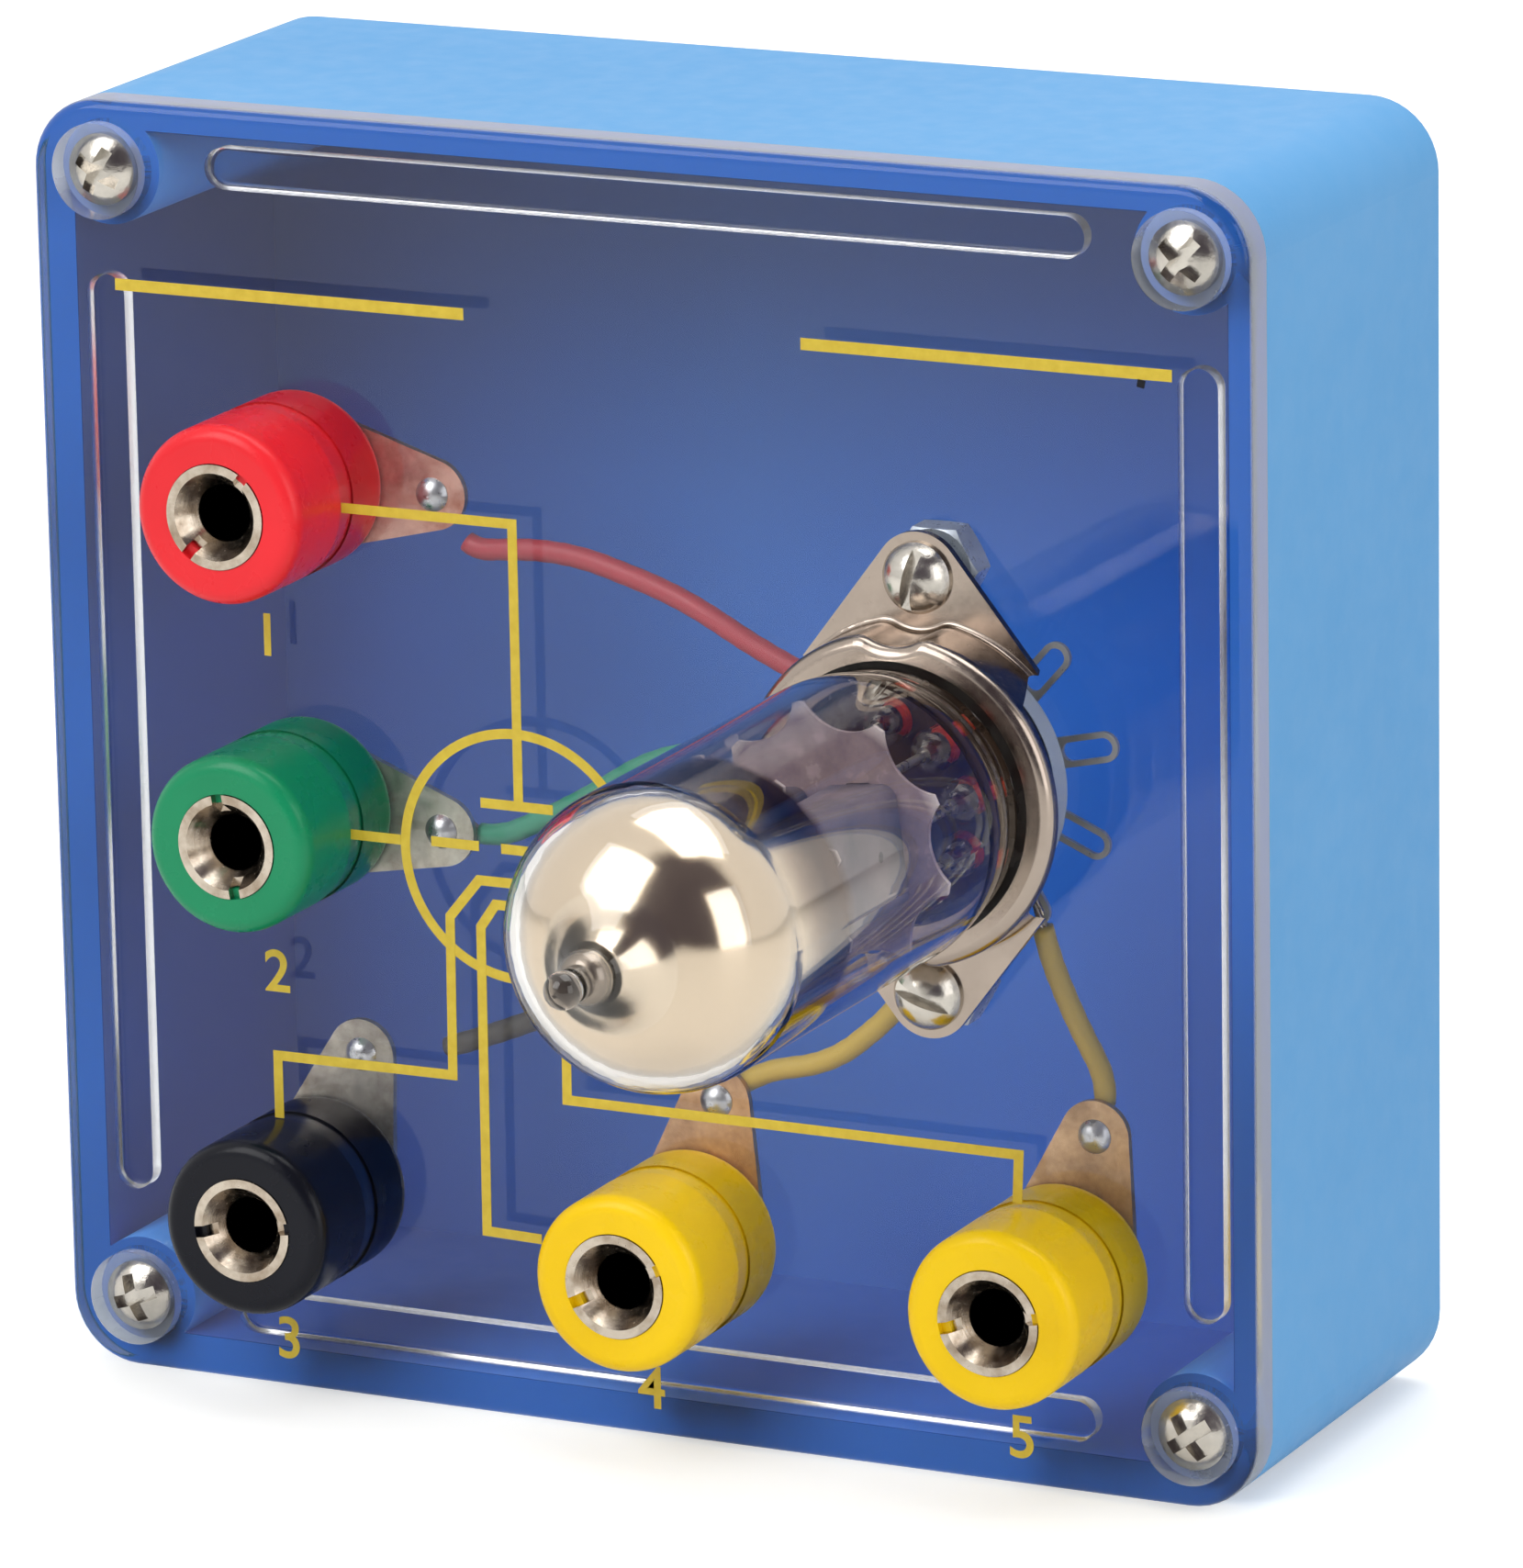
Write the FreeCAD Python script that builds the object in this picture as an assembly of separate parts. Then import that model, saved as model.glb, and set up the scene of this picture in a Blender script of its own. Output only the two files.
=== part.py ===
import FreeCAD, Part
import math
import os
from FreeCAD import Vector

os.makedirs("parts", exist_ok=True)

# Triode tube demonstration unit: a glass double triode in a holder on the clear lid of a small case,
# with five 4 mm sockets wired to it. It stands on its bottom side and its lid faces -Y.
# Lengths are in millimetres. The origin is the middle of the bottom side.
# A place on the lid is (x, z) from the lid's centre, and a depth counts back from the lid's face.

# Case
case_w = 90.3
case_depth = 33.2
case_corner_r = 5.0
case_wall = 2.3
case_back_t = 2.0
case_back_round = 0.8
boss_r = 4.0
boss_inset = 4.95
pilot_depth = 14.0

# Lid
lid_t = 3.0
lid_edge_round = 0.8
rib_w = 2.9
rib_end_gap = 3.5
rib_height = 1.5
rib_round = 0.4
rib_to_wall = 0.7
recess_gap = 0.85
recess_depth = 1.6

# Clearances: between pieces that pass through one another, and round a screw's shank in its hole
slip = 0.05
lid_hole_gap = 0.2
saddle_hole_gap = 0.1

# Cross-head lid screws
lid_screw_head_r = 2.5
lid_screw_rim_h = 0.7
lid_screw_dome_h = 1.0
lid_screw_shank_r = 1.25
lid_screw_length = 12.0
cross_w = 0.9
cross_span = 3.4
cross_depth = 1.1

# 4 mm sockets
cap_r = 6.25
cap_length = 6.4
cap_round = 1.1
neck_wall = 0.9
neck_to_back = 0.8
bush_length = 4.4
bush_round = 0.5
sleeve_bore_r = 2.0
sleeve_wall = 1.0
sleeve_rim_w = 0.66
sleeve_rim_t = 0.6
sleeve_proud = 0.1
sleeve_mouth_flare = 1.05
sleeve_mouth_depth = 1.5
sleeve_tail = 2.0
sleeve_end_t = 1.2
key_slot_w = 0.8
key_slot_depth = 1.0
socket_nut_flats = 8.0
socket_nut_t = 2.4

# Solder tags
tag_t = 0.5
tag_ring_r = 5.2
tag_end_r = 2.5
tag_reach = 10.0
tag_hole_r = 0.85
solder_edge = 0.35
solder_rim_h = 0.07
solder_dome_h = 0.63

# Hook-up wire
wire_d = 1.55

# Holder for the tube
holder_turn = 0.8
saddle_t = 0.6
saddle_flange = 0.45
saddle_ear_r = 3.1
saddle_hole_spacing = 28.6
collar_r = 11.45
collar_height = 5.4
collar_rim_round = 0.9
collar_foot_round = 0.35
collar_lip_gap = 0.35
dent_gap = 1.25
dent_blend_r = 1.6
window_foot_half_w = 8.5
window_top_half_w = 7.0
rim_band = 1.2
body_r = 9.3
body_flange_t = 1.2
body_tail = 3.0
body_core_r = 2.2
body_core_depth = 4.0
pin_circle_r = 5.95
pin_pitch = 36.0
pin_gap_place = 3
first_pin_turn = 12.6
socket_hole_r = 0.65
contact_clip_r = 0.95
contact_clip_length = 6.5
contact_t = 0.35
lug_w = 2.1
lug_slot_w = 1.3
lug_to_screw = 2.3
lug_slot_length = 3.7

# Holder screws and nuts
holder_screw_head_r = 2.45
holder_screw_rim_h = 0.3
holder_screw_dome_h = 1.6
holder_screw_shank_r = 1.5
holder_screw_tail = 1.4
screw_slot_w = 0.75
screw_slot_depth = 1.0
holder_nut_flats = 5.5
holder_nut_t = 2.4

# Tube: heights count from the seat, the plane on which the glass stands
glass_t = 1.0
heel_r = 9.35
heel_inset = 1.05
heel_h = 2.4
heel_bow = 0.42
shoulder_h = 6.6
shoulder_bow = 0.15
shoulder_start = 0.87
button_t = 2.6
dome_over_mica = 7.95
dome_corner_r = 8.0
tip_foot_r = 5.3
tip_root_r = 1.9
tip_flare_h = 2.6
tip_bulge = 0.22
tip_bulge_length = 1.5
tip_neck_r = 1.15
tip_neck_length = 2.1
tip_ball_r = 1.25
bead_r = 1.45
bead_h = 2.6
pin_r = 0.508
pin_length = 7.0
lead_r = 0.3

# Parts inside the glass
mica_t = 0.35
mica_edge = 1.0
mica_teeth = 10
mica_first_tooth_turn = -11.0
mica_tooth_length = 1.33
mica_tooth_tip_w = 0.7
mica_tooth_gap = 0.05
mica_low_h = 12.4
mica_high_h = 27.3
anode_w = 5.4
anode_l = 7.9
anode_corner_r = 1.0
anode_t = 0.3
anode_between = 1.0
anode_end_gap = 0.1
anode_turn = 6.5
anode_hole_r = 0.35
anode_hole_rise = 3.3
tab_w = 1.6
tab_length = 1.2
cathode_r = 0.8
cathode_wall = 0.12
cathode_over = 1.6
heater_r = 0.25
heater_leg_gap = 0.6
heater_drop = 3.6
grid_rod_r = 0.35
grid_half_span = 2.5
grid_wire_r = 0.14
grid_half_t = 1.25
grid_turns = 7
getter_ring_r = 2.8
getter_wire_r = 0.35
getter_stalk_r = 0.25
getter_rise = 5.4

BACK = Vector(0, 1, 0)
FRONT = Vector(0, -1, 0)

# Planes that the sizes above fix
lid_face_y = -case_depth / 2
lid_back_y = lid_face_y + lid_t
case_back_y = case_depth / 2
bush_back_y = lid_back_y + bush_length
tag_back_y = bush_back_y + tag_t
sleeve_back_y = tag_back_y + socket_nut_t + sleeve_tail
body_front_y = lid_face_y - collar_height + saddle_t + slip
body_back_y = lid_back_y + body_tail
seat_y = body_front_y

# Radii and lengths that the sizes above fix
recess_r = lid_screw_head_r + recess_gap
sleeve_r = sleeve_bore_r + sleeve_wall
sleeve_rim_r = sleeve_r + sleeve_rim_w
sleeve_mouth_r = sleeve_bore_r + sleeve_mouth_flare
neck_r = sleeve_r + neck_wall
neck_length = lid_t - neck_to_back
saddle_hub_r = collar_r + saddle_flange
saddle_hole_r = holder_screw_shank_r + saddle_hole_gap
collar_lip_r = heel_r + collar_lip_gap
dent_r = holder_screw_head_r + dent_gap
lug_reach = saddle_hole_spacing / 2 - lug_to_screw
lug_slot_outer = lug_reach - (lug_w - lug_slot_w) / 2
lug_slot_inner = lug_slot_outer - lug_slot_length
anode_spacing = anode_w + anode_between
anodes_half_w = anode_spacing / 2 + anode_w / 2
anode_corner_reach = math.hypot(anodes_half_w - anode_corner_r, anode_l / 2 - anode_corner_r)
mica_r = anode_corner_reach + anode_corner_r + mica_edge
bulb_r = mica_r + mica_tooth_length + mica_tooth_gap + glass_t
base_r = heel_r - heel_inset
dome_start_h = mica_high_h + mica_t + dome_over_mica
dome_centre_r = bulb_r - dome_corner_r
tip_foot_turn = math.degrees(math.acos((tip_foot_r - dome_centre_r) / dome_corner_r))
tip_foot_h = dome_start_h + dome_corner_r * math.sin(math.radians(tip_foot_turn))
tip_root_h = tip_foot_h + tip_flare_h
tip_neck_h = tip_root_h + tip_bulge_length
tip_ball_h = tip_neck_h + tip_neck_length
tip_h = tip_ball_h + tip_ball_r

# The furthest out from the lid's centre that a socket can stand inside the ribs
field = case_w / 2 - case_wall - rib_to_wall - rib_w - cap_r

holder_at = (field - 11.3, 3.2)

# Sockets: place on the lid, the way the tag points and the turn of the sleeve's key slots, in degrees
sockets = {
    "anode": {"at": (4.8 - field, field - 14.5), "tag": -2.0, "slots": 52.0},
    "grid": {"at": (4.9 - field, -4.6), "tag": -6.0, "slots": 100.0},
    "cathode": {"at": (5.2 - field, 1.1 - field), "tag": 73.0, "slots": 8.0},
    "heater_a": {"at": (0.8, 0.5 - field), "tag": 80.0, "slots": 25.0},
    "heater_b": {"at": (field - 4.4, 1.3 - field), "tag": 77.0, "slots": 12.0},
}

# Each wire runs from its tag to the lug in the given place of the ring. The stops between them are given as
# the share of the straight way from one to the other and the distance aside of it, to the left.
wires = {
    "anode": {"lug": 4, "stops": [(0.09, -3.2), (0.31, 0.2), (0.59, 1.0), (0.81, 0.1)]},
    "grid": {"lug": 5, "stops": [(0.12, -1.2), (0.32, 0.3), (0.57, 3.1), (0.78, 2.9)]},
    "cathode": {"lug": 6, "stops": [(0.06, -1.5), (0.24, -2.1), (0.49, -2.0), (0.75, -1.6)]},
    "heater_a": {"lug": 7, "stops": [(0.15, -0.4), (0.36, -3.0), (0.65, -3.1)]},
    "heater_b": {"lug": 8, "stops": [(0.20, -1.2), (0.48, -0.2), (0.74, 0.3)]},
}


def spot(at, y):
    """Point over a place on the lid, at the height of the lid's centre."""
    return Vector(at[0], y, case_w / 2 + at[1])


def polar(centre, r, turn):
    angle = math.radians(turn)
    return (centre[0] + r * math.cos(angle), centre[1] + r * math.sin(angle))


def rod(at, r, y0, y1):
    return Part.makeCylinder(r, y1 - y0, spot(at, y0), BACK)


def ring(at, r_out, r_in, y0, y1):
    return rod(at, r_out, y0, y1).cut(rod(at, r_in, y0, y1))


def block(at, width, height, y0, y1, turn=0.0):
    """Box centred on a place, width along x and height along z before its turn about Y."""
    box = Part.makeBox(width, y1 - y0, height, spot(at, y0) - Vector(width / 2, 0, height / 2))
    box.rotate(spot(at, y0), FRONT, turn)
    return box


def edges_at_y(shape, y):
    """Edges that lie wholly in the plane at this y."""
    return [e for e in shape.Edges if abs(e.BoundBox.YMin - y) < 1e-4 and abs(e.BoundBox.YMax - y) < 1e-4]


def square_slab(width, corner_r, y0, y1):
    """Square plate or block with rounded corners, its faces square to Y."""
    slab = block((0, 0), width, width, y0, y1)
    along_y = [e for e in slab.Edges if abs(e.BoundBox.YLength - (y1 - y0)) < 1e-4]
    return slab.makeFillet(corner_r, along_y)


def face_prism(outline, y0, y1):
    """Prism of a closed outline drawn in the plane y = 0."""
    face = Part.Face(outline)
    face.translate(Vector(0, y0, 0))
    return face.extrude(Vector(0, y1 - y0, 0))


def turned(at, base_y, profile):
    """Solid of revolution about the Y line through a place. The profile is a closed list of edges made
    from (r, h) points, with h counted towards the front from base_y."""
    face = Part.Face(Part.Wire(profile))
    solid = face.revolve(Vector(0, 0, 0), Vector(0, 1, 0), 360)
    solid.translate(spot(at, base_y))
    return Part.Solid(solid.Shells[0]) if solid.ShapeType != "Solid" else solid


def rh(r, h):
    """Profile point: radius along x and height towards the front."""
    return Vector(r, -h, 0)


def lines(points):
    """Straight edges through (r, h) points."""
    return [Part.makeLine(rh(*a), rh(*b)) for a, b in zip(points, points[1:])]


def arc(a, mid, b):
    return Part.Arc(rh(*a), rh(*mid), rh(*b)).toShape()


def on_corner(centre_r, centre_h, radius, turn):
    """Point of a profile arc, its turn counted in degrees from the radial direction."""
    angle = math.radians(turn)
    return (centre_r + radius * math.cos(angle), centre_h + radius * math.sin(angle))


def bowed(a, b, bow):
    """Profile arc from a up to b whose middle stands out from the straight line by the bow."""
    run = math.dist(a, b)
    out = ((b[1] - a[1]) / run, (a[0] - b[0]) / run)
    return arc(a, ((a[0] + b[0]) / 2 + bow * out[0], (a[1] + b[1]) / 2 + bow * out[1]), b)


def arc_between(centre, r, turn_a, turn_b):
    """Arc in the outline plane from one turn to another, in degrees, the short way that the order gives."""
    mid = (turn_a + turn_b) / 2
    ends = [spot(polar(centre, r, t), 0) for t in (turn_a, mid, turn_b)]
    return Part.Arc(*ends).toShape()


def straight(a, b):
    """Straight edge of an outline."""
    return Part.makeLine(spot(a, 0), spot(b, 0))


def polygon(corners):
    """Closed outline of straight edges."""
    return Part.makePolygon([spot(p, 0) for p in corners + corners[:1]])


def teardrop(centre, r_big, r_small, reach, turn):
    """Outline round a big circle and a small one, joined by their tangents."""
    lean = math.degrees(math.acos((r_big - r_small) / reach))
    tip = polar(centre, reach, turn)
    big = arc_between(centre, r_big, turn + lean, turn + 360 - lean)
    small = arc_between(tip, r_small, turn - lean, turn + lean)
    left = straight(polar(tip, r_small, turn + lean), polar(centre, r_big, turn + lean))
    right = straight(polar(centre, r_big, turn - lean), polar(tip, r_small, turn - lean))
    return Part.Wire([big, right, small, left])


def stadium(centre, length, width, turn):
    """Outline of a slot: length over the round ends."""
    half = (length - width) / 2
    a = polar(centre, half, turn)
    b = polar(centre, half, turn + 180)
    r = width / 2
    left = straight(polar(a, r, turn + 90), polar(b, r, turn + 90))
    right = straight(polar(b, r, turn - 90), polar(a, r, turn - 90))
    return Part.Wire([left, arc_between(b, r, turn + 90, turn + 270), right,
                      arc_between(a, r, turn - 90, turn + 90)])


def hex_nut(at, flats, bore_r, y0, y1):
    """Hexagon nut with its corners turned off at both faces."""
    corner_r = flats / math.sqrt(3)
    prism = face_prism(polygon([polar(at, corner_r, 60 * i) for i in range(6)]), y0, y1)
    chamfer = (corner_r - flats / 2) / 2
    height = y1 - y0
    profile = lines([(0, 0), (flats / 2, 0), (corner_r, chamfer), (corner_r, height - chamfer),
                     (flats / 2, height), (0, height), (0, 0)])
    return prism.common(turned(at, y1, profile)).cut(rod(at, bore_r, y0, y1))


def screw_centres():
    reach = case_w / 2 - boss_inset
    return [(sx * reach, sz * reach) for sx in (-1, 1) for sz in (-1, 1)]


def case_tray():
    """Moulded box, open at the front, with a screw boss in each corner."""
    body = square_slab(case_w, case_corner_r, lid_back_y, case_back_y)
    body = body.makeFillet(case_back_round, edges_at_y(body, case_back_y))
    room_back_y = case_back_y - case_back_t
    room = square_slab(case_w - 2 * case_wall, case_corner_r - case_wall, lid_back_y, room_back_y)
    for at in screw_centres():
        room = room.cut(rod(at, boss_r, lid_back_y, room_back_y))
    body = body.cut(room)
    for at in screw_centres():
        body = body.cut(rod(at, lid_screw_shank_r + slip, lid_back_y, lid_back_y + pilot_depth))
    return body


def saddle_screw_places():
    half = saddle_hole_spacing / 2
    return [polar(holder_at, half, holder_turn + 90), polar(holder_at, half, holder_turn - 90)]


def lid():
    """Clear plate with four locating ribs behind it, screw recesses and holes for what it carries."""
    plate = square_slab(case_w, case_corner_r, lid_face_y, lid_back_y)
    plate = plate.makeFillet(lid_edge_round, edges_at_y(plate, lid_face_y))
    rib_place = case_w / 2 - case_wall - rib_to_wall - rib_w / 2
    rib_length = case_w - 2 * (boss_inset + boss_r + rib_end_gap)
    for turn in (0, 90, 180, 270):
        centre = polar((0, 0), rib_place, turn)
        rib = face_prism(stadium(centre, rib_length, rib_w, turn + 90), lid_back_y, lid_back_y + rib_height)
        plate = plate.fuse(rib.makeFillet(rib_round, edges_at_y(rib, lid_back_y + rib_height)))
    for at in screw_centres():
        plate = plate.cut(rod(at, recess_r, lid_face_y, lid_face_y + recess_depth))
        plate = plate.cut(rod(at, lid_screw_shank_r + lid_hole_gap, lid_face_y, lid_back_y))
    for socket in sockets.values():
        plate = plate.cut(rod(socket["at"], neck_r + slip, lid_face_y, lid_back_y))
    plate = plate.cut(rod(holder_at, body_r + slip, lid_face_y, lid_back_y))
    for at in saddle_screw_places():
        plate = plate.cut(rod(at, saddle_hole_r, lid_face_y, lid_back_y))
    return plate.removeSplitter()


def domed_head(at, seat, head_r, rim_h, dome_h):
    """Round head that stands forward of its seat: a rim under a spherical cap."""
    ball_r = (head_r ** 2 + dome_h ** 2) / (2 * dome_h)
    middle = math.degrees(math.acos(head_r / ball_r)) / 2 + 45
    top = (0, rim_h + dome_h)
    profile = lines([(0, 0), (head_r, 0), (head_r, rim_h)])
    profile.append(arc((head_r, rim_h), on_corner(0, top[1] - ball_r, ball_r, middle), top))
    return turned(at, seat, profile + lines([top, (0, 0)]))


def lid_screws():
    """Four cross-head screws that hold the lid to the case bosses."""
    seat = lid_face_y + recess_depth
    crown_y = seat - lid_screw_rim_h - lid_screw_dome_h
    turns = (20, 62, 35, 50)
    solids = []
    for at, turn in zip(screw_centres(), turns):
        screw = domed_head(at, seat, lid_screw_head_r, lid_screw_rim_h, lid_screw_dome_h)
        screw = screw.fuse(rod(at, lid_screw_shank_r, seat, seat + lid_screw_length))
        for arm in (turn, turn + 90):
            screw = screw.cut(block(at, cross_span, cross_w, crown_y, crown_y + cross_depth, arm))
        solids.append(screw.removeSplitter())
    return Part.makeCompound(solids)


def socket_cap(at):
    """Coloured front insulator with a neck that centres it in the lid."""
    round_mid = cap_round * (1 - math.sqrt(0.5))
    profile = lines([(sleeve_r + slip, 0), (neck_r, 0), (neck_r, neck_length), (cap_r, neck_length),
                     (cap_r, neck_length + cap_length - cap_round)])
    profile.append(arc((cap_r, neck_length + cap_length - cap_round),
                       (cap_r - round_mid, neck_length + cap_length - round_mid),
                       (cap_r - cap_round, neck_length + cap_length)))
    rim_floor = neck_length + cap_length + sleeve_proud - sleeve_rim_t
    profile += lines([(cap_r - cap_round, neck_length + cap_length),
                      (sleeve_rim_r + slip, neck_length + cap_length), (sleeve_rim_r + slip, rim_floor),
                      (sleeve_r + slip, rim_floor), (sleeve_r + slip, 0)])
    return turned(at, lid_face_y + neck_length, profile)


def socket_bush(at):
    """Coloured insulating bush behind the lid."""
    bush = ring(at, cap_r, sleeve_r + slip, lid_back_y, bush_back_y)
    rear = [e for e in edges_at_y(bush, bush_back_y) if e.Length > 2 * math.pi * (cap_r - slip)]
    return bush.makeFillet(bush_round, rear)


def socket_sleeve(at, slot_turn):
    """Metal sleeve that takes the plug, with a coned mouth and two key slots in its rim."""
    mouth_y = lid_face_y - cap_length - sleeve_proud
    rim_back_y = mouth_y + sleeve_rim_t
    sleeve = rod(at, sleeve_rim_r, mouth_y, rim_back_y).fuse(rod(at, sleeve_r, rim_back_y, sleeve_back_y))
    sleeve = sleeve.cut(rod(at, sleeve_bore_r, mouth_y, sleeve_back_y - sleeve_end_t))
    mouth = Part.makeCone(sleeve_mouth_r, sleeve_bore_r, sleeve_mouth_depth, spot(at, mouth_y), BACK)
    sleeve = sleeve.cut(mouth)
    slot = block(at, 2 * sleeve_rim_r, key_slot_w, mouth_y, mouth_y + key_slot_depth, slot_turn)
    return sleeve.cut(slot).removeSplitter()


def socket_nuts():
    return Part.makeCompound([hex_nut(s["at"], socket_nut_flats, sleeve_r + slip, tag_back_y,
                                      tag_back_y + socket_nut_t) for s in sockets.values()])


def socket_tag(at, turn):
    """Flat solder tag clamped behind the bush, with a hole in its end."""
    tag = face_prism(teardrop(at, tag_ring_r, tag_end_r, tag_reach, turn), bush_back_y, tag_back_y)
    tag = tag.cut(rod(at, sleeve_r + slip, bush_back_y, tag_back_y))
    return tag.cut(rod(polar(at, tag_reach, turn), tag_hole_r, bush_back_y, tag_back_y))


def collar_outline(inset):
    """Outline of the drawn collar: a circle dented inwards beside each screw, moved in by the inset."""
    big_r = collar_r - inset
    blend_r = dent_blend_r - inset
    hollow_r = dent_r + inset
    reach = saddle_hole_spacing / 2
    far = big_r - blend_r
    near = hollow_r + blend_r
    at_hub = math.degrees(math.acos((far ** 2 + reach ** 2 - near ** 2) / (2 * far * reach)))
    at_screw = math.degrees(math.acos((near ** 2 + reach ** 2 - far ** 2) / (2 * near * reach)))
    edges = []
    for side in (90, 270):
        turn = holder_turn + side
        screw = polar(holder_at, reach, turn)
        before = polar(holder_at, far, turn - at_hub)
        after = polar(holder_at, far, turn + at_hub)
        edges.append(arc_between(before, blend_r, turn - at_hub, turn + at_screw))
        edges.append(arc_between(screw, hollow_r, turn + 180 + at_screw, turn + 180 - at_screw))
        edges.append(arc_between(after, blend_r, turn - at_screw, turn + at_hub))
        edges.append(arc_between(holder_at, big_r, turn + at_hub, turn + 180 - at_hub))
    return Part.Wire(edges)


def side_window(top_y):
    """What is cut away at both sides of the saddle: all of it up to the band under its rim."""
    corners = [(lid_face_y, window_foot_half_w), (lid_face_y, -window_foot_half_w),
               (top_y, -window_top_half_w), (top_y, window_top_half_w)]
    x, z = holder_at
    points = [Vector(x - 2 * collar_r, y, case_w / 2 + z + side) for y, side in corners + corners[:1]]
    window = Part.Face(Part.makePolygon(points)).extrude(Vector(4 * collar_r, 0, 0))
    window.rotate(spot(holder_at, 0), FRONT, holder_turn)
    return window


def holder_saddle():
    """Pressed steel saddle: two ears and a drawn collar, open at its sides, whose rim holds the body."""
    plate_y = lid_face_y - saddle_t
    rim_y = lid_face_y - collar_height
    plate = rod(holder_at, saddle_hub_r, plate_y, lid_face_y)
    for turn in (holder_turn + 90, holder_turn - 90):
        ear = teardrop(holder_at, saddle_hub_r, saddle_ear_r, saddle_hole_spacing / 2, turn)
        plate = plate.fuse(face_prism(ear, plate_y, lid_face_y))
    plate = plate.removeSplitter()
    shell = plate.fuse(face_prism(collar_outline(0), rim_y, lid_face_y)).removeSplitter()
    shell = shell.makeFillet(collar_rim_round, edges_at_y(shell, rim_y))
    foot = [e for e in edges_at_y(shell, plate_y)
            if max(v.Point.distanceToPoint(spot(holder_at, plate_y)) for v in e.Vertexes) < collar_r + slip]
    shell = shell.makeFillet(collar_foot_round, foot)
    shell = shell.cut(face_prism(collar_outline(saddle_t), rim_y + saddle_t, lid_face_y))
    shell = shell.cut(rod(holder_at, collar_lip_r, rim_y, rim_y + saddle_t))
    shell = shell.cut(side_window(rim_y + rim_band))
    for at in saddle_screw_places():
        shell = shell.cut(rod(at, saddle_hole_r, plate_y, lid_face_y))
    return shell


def pin_turns():
    """Turns of the nine pins round the circle of ten places."""
    return {i: first_pin_turn + pin_pitch * i for i in range(10) if i != pin_gap_place}


def holder_body():
    """Moulded body: a flange under the collar's rim, a barrel through the lid and nine contact holes."""
    flange = face_prism(collar_outline(saddle_t + slip), body_front_y, body_front_y + body_flange_t)
    body = flange.fuse(rod(holder_at, body_r, body_front_y, body_back_y))
    body = body.cut(rod(holder_at, body_core_r, body_back_y - body_core_depth, body_back_y))
    clip_front_y = body_back_y + contact_t - contact_clip_length
    for turn in pin_turns().values():
        at = polar(holder_at, pin_circle_r, turn)
        body = body.cut(rod(at, socket_hole_r, body_front_y, clip_front_y))
        body = body.cut(rod(at, contact_clip_r + slip, clip_front_y, body_back_y))
    return body


def contact(turn):
    """Contact: a clip round the pin and a looped solder lug that lies on the body's back."""
    at = polar(holder_at, pin_circle_r, turn)
    back_y = body_back_y + contact_t
    lug_length = lug_reach - pin_circle_r + lug_w / 2
    lug_centre = polar(holder_at, lug_reach - lug_length / 2, turn)
    lug = face_prism(stadium(lug_centre, lug_length, lug_w, turn), body_back_y, back_y)
    slot_centre = polar(holder_at, (lug_slot_inner + lug_slot_outer) / 2, turn)
    slot = stadium(slot_centre, lug_slot_length, lug_slot_w, turn)
    lug = lug.cut(face_prism(slot, body_back_y, back_y))
    clip = rod(at, contact_clip_r, back_y - contact_clip_length, back_y)
    return lug.fuse(clip).cut(rod(at, pin_r + slip, back_y - contact_clip_length, back_y)).removeSplitter()


def holder_screws():
    """Two slotted round-head screws through the saddle's ears and the lid."""
    seat = lid_face_y - saddle_t
    crown_y = seat - holder_screw_rim_h - holder_screw_dome_h
    end_y = lid_back_y + holder_nut_t + holder_screw_tail
    solids = []
    for at, turn in zip(saddle_screw_places(), (78, -18)):
        screw = domed_head(at, seat, holder_screw_head_r, holder_screw_rim_h, holder_screw_dome_h)
        screw = screw.fuse(rod(at, holder_screw_shank_r, seat, end_y))
        screw = screw.cut(block(at, 2 * holder_screw_head_r, screw_slot_w, crown_y,
                                crown_y + screw_slot_depth, turn))
        solids.append(screw.removeSplitter())
    return Part.makeCompound(solids)


def holder_nuts():
    return Part.makeCompound([hex_nut(at, holder_nut_flats, holder_screw_shank_r + slip, lid_back_y,
                                      lid_back_y + holder_nut_t) for at in saddle_screw_places()])


def glass_outside():
    centre = (dome_centre_r, dome_start_h)
    foot = (tip_foot_r, tip_foot_h)
    root = (tip_root_r, tip_root_h)
    neck = (tip_neck_r, tip_neck_h)
    rise = math.degrees(math.atan2(root[1] - foot[1], foot[0] - root[0]))
    hollow = math.dist(foot, root) / 2 * math.tan(math.radians((rise - (90 - tip_foot_turn)) / 2))
    profile = lines([(0, 0), (base_r, 0)])
    profile.append(bowed((base_r, 0), (heel_r, heel_h), heel_bow))
    profile.append(bowed((heel_r, heel_h), (bulb_r, shoulder_h), shoulder_bow))
    profile += lines([(bulb_r, shoulder_h), (bulb_r, dome_start_h)])
    profile.append(arc((bulb_r, dome_start_h), on_corner(*centre, dome_corner_r, tip_foot_turn / 2), foot))
    profile += [bowed(foot, root, -hollow), bowed(root, neck, tip_bulge)]
    ball_start = (tip_neck_r, tip_ball_h - math.sqrt(tip_ball_r ** 2 - tip_neck_r ** 2))
    profile += lines([neck, ball_start])
    profile.append(arc(ball_start, on_corner(0, tip_ball_h, tip_ball_r, 40), (0, tip_h)))
    profile += lines([(0, tip_h), (0, 0)])
    return turned(holder_at, seat_y, profile)


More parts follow.
